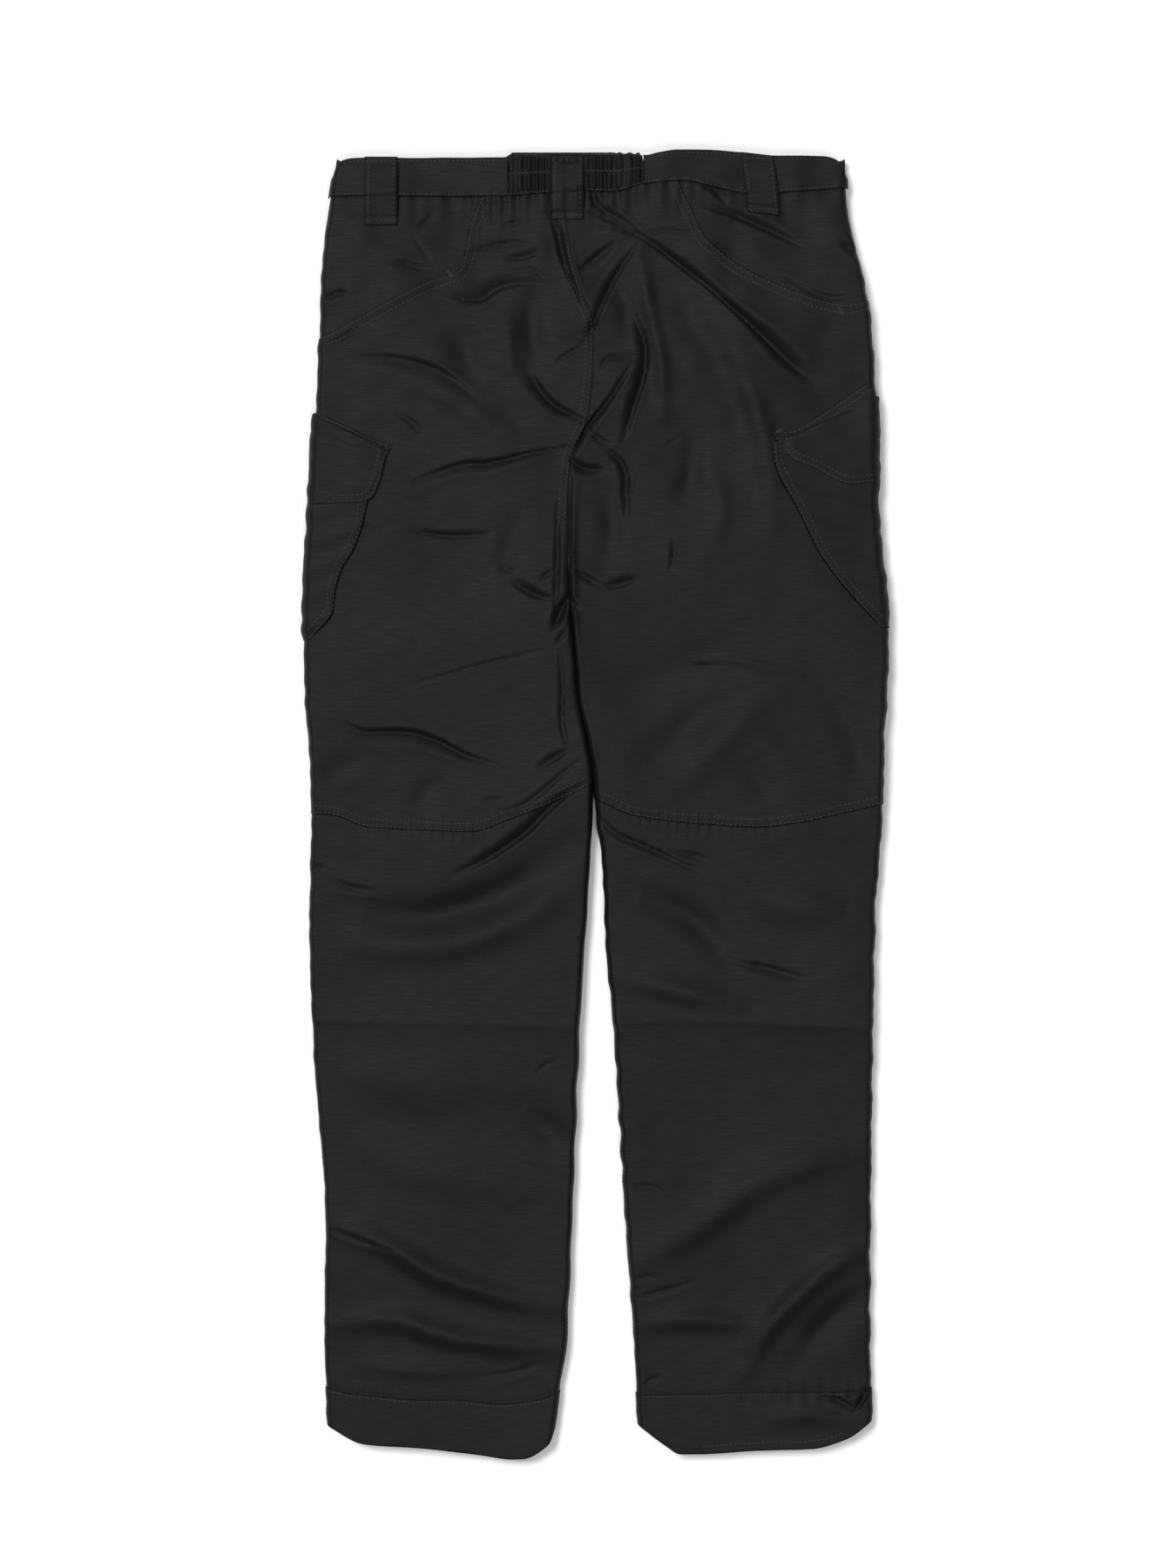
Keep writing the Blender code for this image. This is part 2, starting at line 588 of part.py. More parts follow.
def make_slider():
    """The slider: two plates joined by a post between the coils, with a bridge below for the pull."""
    def part(x_range, y_range, z_range):
        return block([FLY_X + x for x in x_range], [SLIDER_Y + y for y in y_range], z_range)

    wide, long = SLIDER_HALF_WIDTH, SLIDER_HALF_LENGTH
    parts = [part((-wide, wide), (-long, long), (0.0036, 0.0048)),
             part((-0.0005, 0.0005), (0.0025, 0.0055), (0.0046, 0.0076)),
             part((-wide, wide), (-long, long), (0.0074, 0.0084))]
    for low, high in ((-wide, -0.0039), (0.0039, wide)):
        parts.append(part((low, high), (-long, long), (0.0046, 0.0054)))
        parts.append(part((low, high), (-long, long), (0.0068, 0.0076)))
    for low, high in ((-0.0030, -0.0022), (0.0022, 0.0030)):
        parts.append(part((-0.0008, 0.0008), (low, high), (0.0008, 0.0038)))
    parts.append(part((-0.0008, 0.0008), (-0.0030, 0.0030), (0.0008, 0.0016)))
    joined("zip_slider", parts, "zip_metal", origin=(FLY_X, SLIDER_Y, sum(PULL_Z) / 2))


def make_pull():
    """The pull: a flat tab whose eye goes round the slider's bridge. Its origin is on its axis."""
    eye = rectangle(-0.0015, -0.0040, 0.0015, -0.0005)
    outline = [(-PULL_HALF_WIDTH, -PULL_LENGTH + 0.0025), (-PULL_HALF_WIDTH + 0.0015, 0.0005 - PULL_LENGTH),
               (PULL_HALF_WIDTH - 0.0015, 0.0005 - PULL_LENGTH), (PULL_HALF_WIDTH, -PULL_LENGTH + 0.0025),
               (PULL_HALF_WIDTH, 0.0005), (-PULL_HALF_WIDTH, 0.0005)]
    plate("zip_pull", outline, PULL_Z, "zip_metal", [eye], (FLY_X, SLIDER_Y))


def make_fly_guard():
    """The soft guard behind the zip, sewn in along its left side."""
    section = [(0.0140, 0.0095), (0.0, 0.0095), (-0.0140, 0.0095), (-0.0170, 0.0072), (-0.0195, 0.0064),
               (-0.0240, 0.0061)]
    rows = [[Vector((FLY_X + dx, y, z)) for dx, z in section] for y in spread(0.322, 0.487, 4)]
    sheet("fly_guard", rows, LINING, "lining_taffeta", Vector((FLY_X, 0.4, -1)))


# ---------------------------------------------------------------- the cargo pockets

def wrapped(side, y, distance, height):
    """A point above the cloth, at a distance in from the side edge along it. Below 0 it is under the fold."""
    def at(d, yy):
        turn = min(max(abs(d) / EDGE_ARC, 0), 1) * math.pi / 2
        x = edge_x[side](yy) - side * (EDGE_ROUND * (1 - math.cos(turn)) + max(abs(d) - EDGE_ARC, 0))
        z = loft(yy) / 2 * (1 + math.copysign(math.sin(turn), d))
        return Vector((x, yy, z))

    small = 1e-4
    normal = (at(distance + small, y) - at(distance - small, y)).cross(at(distance, y + small) - at(distance, y - small))
    normal.normalize()
    if normal.dot(at(distance, y) - inside_of(side, y)) < 0:
        normal.negate()
    return at(distance, y) + normal * height


def make_cargo_pocket(side):
    """A bellows pocket over the side of the thigh, open along its sloping top."""
    rear = smooth(CARGO_REAR[side])
    ys = [y for y, _ in CARGO_REAR[side]]
    (ax, ay), (bx, by) = FLAP[side][:2]
    slope = (by - ay) / abs(bx - ax)
    front = -0.6 * EDGE_ARC
    grid = []
    for i, share in enumerate(spread(0, 1, 8) + [1.0]):
        y_rear = ys[0] + (ys[-1] - ys[0]) * share
        start = EDGE_ARC + abs(rear(y_rear) - edge_x[side](y_rear)) - EDGE_ROUND
        columns = spread(start, EDGE_ARC, 3) + spread(EDGE_ARC, front, 6)[1:]
        columns = [columns[0] + CARGO_SPLAY] + columns + [front - CARGO_SPLAY]
        row = []
        for k, distance in enumerate(columns):
            y = y_rear + slope * min(start - distance, start) * (1 - share)
            face = CARGO_SIDE + (CARGO_FACE - CARGO_SIDE) * ease(0.3 * EDGE_ARC, 0.95 * EDGE_ARC, distance)
            height = face
            if k in (0, len(columns) - 1) or i == 9:
                height = LAYER_GAP + POCKET_WALL * (1 - 0.6 * (face - CARGO_SIDE) / (CARGO_FACE - CARGO_SIDE))
            row.append(wrapped(side, y - (CARGO_SPLAY if i == 9 else 0), distance, height))
        grid.append(row)
    sheet(f"{SIDE_NAME[side]}_cargo_pocket", grid, POCKET_WALL, "shell_nylon", inside_of(side, 0.2))


def make_cargo_flap(side):
    """The flap over the pocket's mouth, and the hook and loop patches that hold it shut."""
    name = SIDE_NAME[side]
    base = loft(0.28)
    seam_near, seam_far, low_far, low_near = (Vector((x, y, 0)) for x, y in FLAP[side])
    steps = [(0.0, LAYER_GAP + FLAP_THICK), (0.003, LAYER_GAP + FLAP_THICK), (0.010, FLAP_TOP), (None, FLAP_TOP)]
    rows = []
    for down, height in steps:
        row = []
        for share in spread(0, 1, 4):
            top, low = seam_near.lerp(seam_far, share), low_near.lerp(low_far, share)
            point = low if down is None else top + (low - top).normalized() * down
            row.append(Vector((point.x, point.y, base + height)))
        rows.append(row)
    flap = sheet(f"{name}_cargo_flap", rows, FLAP_THICK, "shell_nylon", Vector((seam_near.x, 0.27, -1)))
    put_origin(flap, (seam_near.x, seam_near.y, base + LAYER_GAP + FLAP_THICK / 2))
    patch = rectangle(*TAPE_PATCH[side])
    for what, low in (("pocket_loop_tape", CARGO_FACE + LAYER_GAP),
                      ("flap_hook_tape", FLAP_TOP - FLAP_THICK - LAYER_GAP - TAPE_PATCH_THICK)):
        tape = plate(f"{name}_{what}", patch, (base + low, base + low + TAPE_PATCH_THICK), "hook_and_loop")
        if what == "flap_hook_tape":
            turn_with(flap, tape)


def hang_lower_leg(side):
    """Everything below the packing crease turns about its axis, which lies just above the back."""
    name = SIDE_NAME[side]
    axis = axis_empty(f"{name}_knee_axis", (side * KNEE_AXIS[0], KNEE_FOLD, KNEE_AXIS[1]))
    turn_with(axis, *(bpy.data.objects[f"{name}_{piece}"] for piece in LOWER_LEG))


for side in (LEFT, RIGHT):
    make_shell(side)
    make_gaiter(side)
    hang_lower_leg(side)
    make_pocket_bag(side)
    make_cargo_pocket(side)
    make_cargo_flap(side)
    make_zip_tape(side)
make_waistband()
make_elastic_waist()
make_belt_loops()
make_waist_tab()
make_slider()
make_pull()
make_fly_guard()
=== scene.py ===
# %% [markdown]
# # Ski pants, laid flat on their front
#
# Black woven pants lie on a pale table with their back upwards. The frame already says where
# every piece is and how it moves. This lesson makes the looks around it: the cloth with its
# creases, the seams and their stitches, the gathered waist, the pockets, the zip and the snap.
# Everything is in metres: +X towards the wearer's right leg, +Y to the waist, +Z up.

# %% Load the fixed frame
import math

import bpy
import numpy as np
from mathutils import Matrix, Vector


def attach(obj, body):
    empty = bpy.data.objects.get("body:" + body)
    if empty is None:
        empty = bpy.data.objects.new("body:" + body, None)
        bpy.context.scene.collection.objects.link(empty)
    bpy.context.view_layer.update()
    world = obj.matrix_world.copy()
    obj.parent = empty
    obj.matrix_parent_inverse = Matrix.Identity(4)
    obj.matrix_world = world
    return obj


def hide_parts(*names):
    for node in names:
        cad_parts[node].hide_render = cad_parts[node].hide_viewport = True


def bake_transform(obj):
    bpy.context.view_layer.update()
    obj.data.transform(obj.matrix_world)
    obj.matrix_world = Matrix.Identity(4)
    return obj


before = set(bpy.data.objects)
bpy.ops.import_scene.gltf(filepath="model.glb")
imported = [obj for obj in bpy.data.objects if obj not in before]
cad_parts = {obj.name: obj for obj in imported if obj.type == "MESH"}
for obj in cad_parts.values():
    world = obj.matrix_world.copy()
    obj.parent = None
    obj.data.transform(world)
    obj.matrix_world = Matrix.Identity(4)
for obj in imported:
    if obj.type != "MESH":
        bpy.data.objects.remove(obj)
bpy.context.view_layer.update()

LEFT, RIGHT = -1, 1
SIDE_NAME = {LEFT: "left", RIGHT: "right"}
UPPER = "upper_garment"
LOWER = {LEFT: "left_lower_leg", RIGHT: "right_lower_leg"}
FLAP_BODY = {LEFT: "left_flap", RIGHT: "right_flap"}

# %% [markdown]
# ## Camera
#
# The garment is seen from straight above, far enough away that its sides look parallel. An 85 mm
# lens at about three metres gives the frame a height of 1.26 m. The camera looks down -Z when it
# is not turned, with +Y at the top.

# %% Camera
VIEW_CENTRE = (-0.0070, 0.0165)
VIEW_HEIGHT = 1.260
LENS = 85.0
CLOTH_LEVEL = 0.020
camera_data = bpy.data.cameras.new("overhead_camera")
camera_data.lens = LENS
camera_data.sensor_width = 36.0
camera = bpy.data.objects.new("overhead_camera", camera_data)
distance = VIEW_HEIGHT / 2 / (camera_data.sensor_width / 2 / LENS)
camera.location = (*VIEW_CENTRE, CLOTH_LEVEL + distance)
bpy.context.scene.collection.objects.link(camera)
bpy.context.scene.camera = camera
print(f"camera {camera.location.z:.3f} m up")

# %% [markdown]
# ## Curves through measured places
#
# The outline, the seams and the height of the cloth are all smooth curves through a few measured
# places. A cubic that never overshoots its points keeps an outline free of bulges that nobody
# asked for. The functions work on whole arrays at once, because a fine cloth has many points.

# %% Curve helpers
def curve(stations):
    """A function through (position, value) pairs that never overshoots them. It takes arrays."""
    at, value = (np.array(column, float) for column in zip(*sorted(stations)))
    rise = np.diff(value) / np.diff(at)
    same_way = rise[:-1] * rise[1:] > 0
    middle = np.where(same_way, 2 * rise[:-1] * rise[1:] / np.where(same_way, rise[:-1] + rise[1:], 1), 0)
    slope = np.concatenate([rise[:1], middle, rise[-1:]])

    def through(x):
        x = np.clip(np.asarray(x, float), at[0], at[-1])
        i = np.clip(np.searchsorted(at, x, side="right") - 1, 0, len(at) - 2)
        step = at[i + 1] - at[i]
        t = (x - at[i]) / step
        return ((2 * t**3 - 3 * t**2 + 1) * value[i] + (t**3 - 2 * t**2 + t) * step * slope[i]
                + (3 * t**2 - 2 * t**3) * value[i + 1] + (t**3 - t**2) * step * slope[i + 1])

    return through


def ease(low, high, at):
    """0 below low and 1 above high, with a smooth rise between. With low above high it falls."""
    t = np.clip((np.asarray(at, float) - low) / (high - low), 0, 1)
    return t * t * (3 - 2 * t)


def rounded_path(points, steps=6):
    """A denser line through points, with its corners rounded."""
    points = np.array(points, float)
    if len(points) == 2:
        return points[0] + (points[1] - points[0]) * np.linspace(0, 1, steps + 1)[:, None]
    ends = np.vstack([2 * points[0] - points[1], points, 2 * points[-1] - points[-2]])
    t = np.linspace(0, 1, steps, endpoint=False)[:, None]
    made = [0.5 * (2 * b + (c - a) * t + (2 * a - 5 * b + 4 * c - d) * t**2 + (3 * b - a - 3 * c + d) * t**3)
            for a, b, c, d in zip(ends, ends[1:], ends[2:], ends[3:])]
    return np.vstack([*made, points[-1:]])


# %% [markdown]
# ## How the pants lie
#
# Each half of the garment is a flattened tube. Its outline is given by the outer fold of the leg,
# by the seam between the halves and, below the crotch, by the two inseams. The loft is how thick
# the flattened tube is. Below the crotch the inner side closes round the leg as the outer one does.

# %% The outline
WAIST_SEAM, HEM_SEAM = 0.4890, -0.4760
CROTCH_OPEN, CROTCH_CLOSED = 0.215, 0.120
EDGE_ROUND, EDGE_ARC = 0.0048, 0.0138
OUTSEAM = {
    LEFT: [(0.527, -0.2085), (0.430, -0.2215), (0.350, -0.2240), (0.110, -0.2350), (0.010, -0.2295),
           (-0.100, -0.2315), (-0.200, -0.2280), (-0.340, -0.2185), (-0.420, -0.2195), (-0.530, -0.2150)],
    RIGHT: [(0.527, 0.2000), (0.490, 0.2010), (0.400, 0.2190), (0.330, 0.2235), (0.245, 0.2240), (0.120, 0.2345),
            (0.050, 0.2310), (-0.010, 0.2300), (-0.090, 0.2245), (-0.420, 0.2205), (-0.530, 0.2225)],
}
CENTRE_SEAM = [(0.527, -0.0245), (0.470, -0.0240), (0.4365, -0.0200), (0.405, -0.0095), (0.386, -0.0025),
               (0.340, -0.0035), (0.3055, -0.0085), (0.275, -0.0205), (0.2265, -0.0240), (0.1635, -0.0215),
               (0.1215, -0.0175), (0.0865, -0.0147), (0.0515, -0.0075), (0.0200, -0.0025)]
INSEAM = {
    LEFT: CENTRE_SEAM + [(-0.050, -0.0055), (-0.170, -0.0130), (-0.330, -0.0195), (-0.440, -0.0245),
                         (-0.475, -0.0305), (-0.530, -0.0370)],
    RIGHT: CENTRE_SEAM + [(-0.010, -0.0005), (-0.050, 0.0045), (-0.120, 0.0075), (-0.170, 0.0125),
                          (-0.330, 0.0225), (-0.470, 0.0320), (-0.530, 0.0340)],
}
LOFT = [(0.527, 0.0200), (0.440, 0.0235), (0.360, 0.0260), (0.120, 0.0260), (-0.174, 0.0210),
        (-0.400, 0.0190), (-0.530, 0.0180)]
loft = curve(LOFT)


def hand_laid(edge, seed, start):
    """Below a height, an edge wanders by half a millimetre or so, as a fold laid by hand does."""
    rng = np.random.default_rng(seed)
    waves = [(math.tau / rng.uniform(0.014, 0.060), rng.uniform(0, math.tau), rng.uniform(0.07, 0.24) * 0.001)
             for _ in range(7)]
    return lambda y: edge(y) + ease(start, start - 0.04, y) * sum(h * np.sin(f * y + p) for f, p, h in waves)


outer_x = {side: hand_laid(curve(OUTSEAM[side]), 60 + side, 0.480) for side in OUTSEAM}
inner_x = {side: hand_laid(curve(INSEAM[side]), 70 + side, 0.010) for side in INSEAM}
print(f"waist {outer_x[RIGHT](WAIST_SEAM) - outer_x[LEFT](WAIST_SEAM):.3f} m across")

# %% [markdown]
# ## Creases
#
# Cloth that has been folded, packed and then spread out keeps sharp valleys with softer ridges
# beside them. Each crease here is a short line with a width, a depth and a lean. The lean says
# which shoulder stands higher, which is what makes one side catch the light. Broad, low waves are
# added from a few seeded sine waves, because no real cloth is dead flat between its creases.

# %% Creases as lines: (points, half width at the start, at the end, depth, lean)
MM = 0.001
CREASE_STRENGTH = 1.35
CREASES = [
    # Three gathers run out of the waist and join into the long diagonal over the right seat.
    ([(-0.006, 0.494), (0.001, 0.480), (0.019, 0.469), (0.034, 0.459)], 2.4, 1.6, 3.4, -0.3),
    ([(-0.010, 0.472), (-0.003, 0.476), (0.013, 0.469), (0.033, 0.458)], 2.0, 1.4, 2.6, 0.3),
    ([(0.004, 0.463), (0.022, 0.460), (0.038, 0.454), (0.060, 0.438), (0.089, 0.415), (0.115, 0.392), (0.133, 0.375)],
     1.5, 2.4, 3.6, -0.4),
    ([(0.100, 0.405), (0.125, 0.383), (0.148, 0.360), (0.168, 0.343)], 2.0, 5.5, 5.0, -0.3),
    ([(0.039, 0.458), (0.054, 0.461), (0.077, 0.459)], 1.4, 1.2, 1.8, 0.3),
    # Beside and across the centre seam.
    ([(0.035, 0.451), (0.022, 0.434), (0.013, 0.419), (0.004, 0.400), (-0.003, 0.383), (-0.010, 0.370)],
     1.4, 2.4, 3.6, 0.4),
    ([(-0.034, 0.3745), (-0.019, 0.3748), (-0.009, 0.3770)], 1.1, 1.3, 1.8, 0.2),
    ([(-0.034, 0.355), (-0.022, 0.362), (-0.010, 0.369)], 1.3, 1.5, 2.2, 0.2),
    ([(0.003, 0.349), (0.008, 0.358), (0.022, 0.3595), (0.035, 0.360)], 1.6, 1.6, 2.6, 0.3),
    ([(0.031, 0.392), (0.038, 0.374), (0.040, 0.356), (0.036, 0.336), (0.030, 0.318), (0.026, 0.304), (0.023, 0.292)],
     2.2, 2.6, 5.0, 0.5),
    ([(-0.053, 0.346), (-0.045, 0.333), (-0.034, 0.321), (-0.019, 0.313), (-0.006, 0.306)], 3.6, 1.4, 4.4, 0.4),
    ([(0.030, 0.356), (0.019, 0.340), (0.007, 0.322), (-0.005, 0.307), (-0.015, 0.291), (-0.021, 0.278)],
     1.2, 2.2, 3.8, -0.4),
    ([(-0.008, 0.301), (0.004, 0.292), (0.013, 0.289)], 1.6, 1.6, 2.6, 0.2),
    ([(0.005, 0.287), (0.019, 0.276), (0.024, 0.263), (0.024, 0.248), (0.025, 0.228)], 1.6, 2.4, 4.2, 0.3),
    ([(-0.021, 0.277), (-0.010, 0.270), (0.005, 0.269)], 2.6, 3.4, 4.4, 0.2),
    ([(-0.019, 0.287), (-0.040, 0.284), (-0.057, 0.281), (-0.086, 0.274), (-0.110, 0.272), (-0.145, 0.260)],
     1.5, 3.6, 3.6, -0.3),
    ([(-0.037, 0.472), (-0.031, 0.456), (-0.027, 0.438), (-0.019, 0.418), (-0.013, 0.403)], 3.2, 1.6, 4.0, -0.3),
    ([(-0.013, 0.430), (0.001, 0.441), (0.013, 0.451)], 2.4, 2.6, 2.8, 0.3),
    # Short puckers hanging from the gathered waist.
    ([(-0.104, 0.4425), (-0.086, 0.4475), (-0.066, 0.4505), (-0.056, 0.4490)], 1.4, 1.8, 2.2, -0.3),
    ([(-0.073, 0.4370), (-0.057, 0.4395), (-0.046, 0.4440)], 1.8, 2.6, 2.8, -0.3),
    ([(-0.069, 0.4280), (-0.051, 0.4290), (-0.041, 0.4220)], 1.2, 1.4, 1.6, 0.3),
    ([(-0.118, 0.408), (-0.104, 0.405), (-0.092, 0.406), (-0.078, 0.415), (-0.060, 0.418), (-0.048, 0.418)],
     4.0, 3.0, 3.2, -0.4),
    ([(-0.076, 0.4645), (-0.060, 0.4690)], 1.6, 2.0, 1.8, 0.2),
    ([(-0.095, 0.4820), (-0.078, 0.4820)], 1.2, 1.4, 1.4, 0.2),
    ([(-0.143, 0.4630), (-0.132, 0.4730)], 2.4, 2.0, 1.8, 0.2),
    ([(-0.171, 0.436), (-0.153, 0.434), (-0.133, 0.430)], 1.6, 2.2, 1.9, 0.3),
    ([(-0.149, 0.458), (-0.139, 0.444), (-0.130, 0.429)], 0.9, 1.2, 1.2, 0.0),
    ([(-0.220, 0.406), (-0.206, 0.411), (-0.198, 0.408)], 2.0, 1.6, 2.2, 0.3),
    ([(-0.213, 0.370), (-0.200, 0.377), (-0.188, 0.382)], 2.0, 1.4, 1.8, 0.2),
    ([(-0.188, 0.359), (-0.162, 0.358), (-0.136, 0.352), (-0.115, 0.341), (-0.095, 0.326)], 3.4, 3.2, 2.6, 0.4),
    ([(-0.162, 0.314), (-0.148, 0.307), (-0.140, 0.298)], 1.6, 2.4, 1.8, 0.2),
    ([(0.086, 0.480), (0.106, 0.475), (0.130, 0.465), (0.147, 0.457), (0.165, 0.448)], 2.8, 2.4, 3.4, -0.3),
    ([(0.083, 0.497), (0.095, 0.493), (0.105, 0.480)], 2.4, 3.0, 2.4, -0.3),
    ([(0.196, 0.452), (0.203, 0.448), (0.208, 0.441)], 2.4, 2.4, 2.0, 0.2),
    ([(0.150, 0.425), (0.172, 0.412), (0.190, 0.407), (0.210, 0.410)], 1.4, 2.2, 1.6, 0.2),
    # Below the seat.
    ([(-0.148, 0.219), (-0.130, 0.216), (-0.112, 0.2145), (-0.086, 0.2165)], 1.6, 2.4, 2.8, -0.3),
    ([(-0.067, 0.178), (-0.057, 0.171), (-0.045, 0.166), (-0.034, 0.165)], 3.2, 1.8, 3.6, -0.4),
    ([(-0.078, 0.190), (-0.066, 0.187)], 1.6, 1.6, 1.4, 0.0),
    ([(-0.045, 0.181), (-0.034, 0.188)], 1.6, 2.0, 2.2, 0.0),
    ([(-0.019, 0.187), (-0.008, 0.181), (0.005, 0.174)], 2.0, 1.6, 2.8, -0.3),
    ([(0.004, 0.174), (0.016, 0.1755), (0.033, 0.181)], 2.6, 2.8, 3.0, -0.3),
    ([(0.061, 0.214), (0.0625, 0.201), (0.059, 0.187)], 1.6, 1.4, 2.4, 0.3),
    ([(0.077, 0.1110), (0.092, 0.1110)], 1.8, 1.4, 1.5, -0.2),
    ([(0.055, 0.290), (0.067, 0.293)], 1.4, 1.2, 1.4, 0.0),
    # Down the inseam, where the crotch cloth bunches.
    ([(-0.031, 0.250), (-0.032, 0.215), (-0.033, 0.170), (-0.034, 0.142)], 1.2, 1.8, 2.6, -0.3),
    ([(-0.0200, 0.265), (-0.0210, 0.225), (-0.0215, 0.180)], 1.2, 1.4, 2.0, 0.3),
    ([(-0.022, 0.168), (-0.028, 0.157), (-0.034, 0.142)], 2.6, 3.6, 6.0, 0.0),
    ([(-0.020, 0.165), (-0.015, 0.155)], 2.2, 1.8, 4.0, 0.0),
    ([(-0.033, 0.128), (-0.024, 0.141)], 1.6, 1.8, 2.4, 0.0),
    ([(-0.029, 0.126), (-0.0275, 0.092), (-0.027, 0.062), (-0.022, 0.045)], 1.2, 1.8, 2.8, 0.2),
    ([(-0.158, 0.0945), (-0.130, 0.1015), (-0.092, 0.1125), (-0.057, 0.1205), (-0.034, 0.1255)], 0.8, 1.3, 1.7, 0.3),
    # Above the knee seams.
    ([(-0.200, 0.0645), (-0.186, 0.0585), (-0.151, 0.0580), (-0.127, 0.0510), (-0.107, 0.0410), (-0.081, 0.0320)],
     4.2, 2.0, 4.0, 0.4),
    ([(-0.084, 0.0290), (-0.066, 0.0287)], 1.0, 0.8, 1.2, 0.0),
    ([(-0.047, 0.0287), (-0.034, 0.0365), (-0.022, 0.0440)], 2.4, 2.2, 3.0, -0.3),
    ([(-0.083, -0.0057), (-0.063, -0.0028), (-0.045, 0.0089), (-0.028, 0.0235), (-0.009, 0.0380)], 1.3, 1.6, 2.2, -0.3),
    ([(-0.092, 0.0045), (-0.075, 0.0045)], 1.6, 1.6, 1.4, 0.0),
    # Below the knee seams.
    ([(-0.116, -0.058), (-0.095, -0.048), (-0.075, -0.036), (-0.057, -0.023), (-0.040, -0.006), (-0.022, 0.009),
      (-0.008, 0.016)], 2.6, 2.8, 4.2, -0.4),
    ([(-0.2135, -0.0605), (-0.1965, -0.0660), (-0.1785, -0.0690)], 1.6, 2.4, 1.8, 0.3),
    ([(-0.229, -0.0510), (-0.2190, -0.0490)], 1.6, 1.2, 2.0, 0.2),
    ([(0.001, -0.009), (0.016, -0.023), (0.036, -0.032), (0.065, -0.045), (0.084, -0.054)], 2.2, 1.2, 3.2, 0.4),
    ([(0.060, -0.0370), (0.075, -0.0400), (0.089, -0.0430)], 1.6, 1.8, 2.6, 0.3),
    ([(0.112, -0.1265), (0.137, -0.1310), (0.168, -0.1390)], 2.4, 2.8, 2.8, 0.4),
    # Small creases down the calves.
    ([(-0.2160, -0.3405), (-0.1890, -0.3500), (-0.1620, -0.3590)], 1.6, 1.2, 1.8, 0.3),
    ([(0.0270, -0.3080), (0.0400, -0.3060), (0.0560, -0.3110)], 1.8, 1.4, 1.8, 0.3),
    ([(0.0300, -0.3810), (0.0400, -0.3790), (0.0500, -0.3785)], 1.6, 1.4, 1.6, 0.3),
    ([(0.0330, -0.3960), (0.0515, -0.3911), (0.0802, -0.3830)], 2.0, 1.2, 1.8, 0.3),
    ([(0.0370, -0.4670), (0.0430, -0.4630), (0.0510, -0.4590)], 1.8, 1.4, 1.8, 0.3),
    # The right hem's outer corner is turned and creased.
    ([(0.1770, -0.4755), (0.1950, -0.4790), (0.2080, -0.4875)], 1.2, 2.0, 2.4, 0.2),
    ([(0.2000, -0.4740), (0.2100, -0.4755)], 1.4, 1.8, 2.0, 0.0),
    ([(0.2220, -0.4640), (0.2150, -0.4780), (0.2080, -0.4885)], 1.6, 2.4, 3.2, 0.3),
    ([(-0.0300, -0.2050), (-0.0420, -0.2110), (-0.0520, -0.2180)], 1.6, 1.2, 1.2, 0.3),
    ([(-0.0950, -0.4600), (-0.0700, -0.4570), (-0.0420, -0.4480)], 2.0, 1.6, 1.4, 0.3),
]
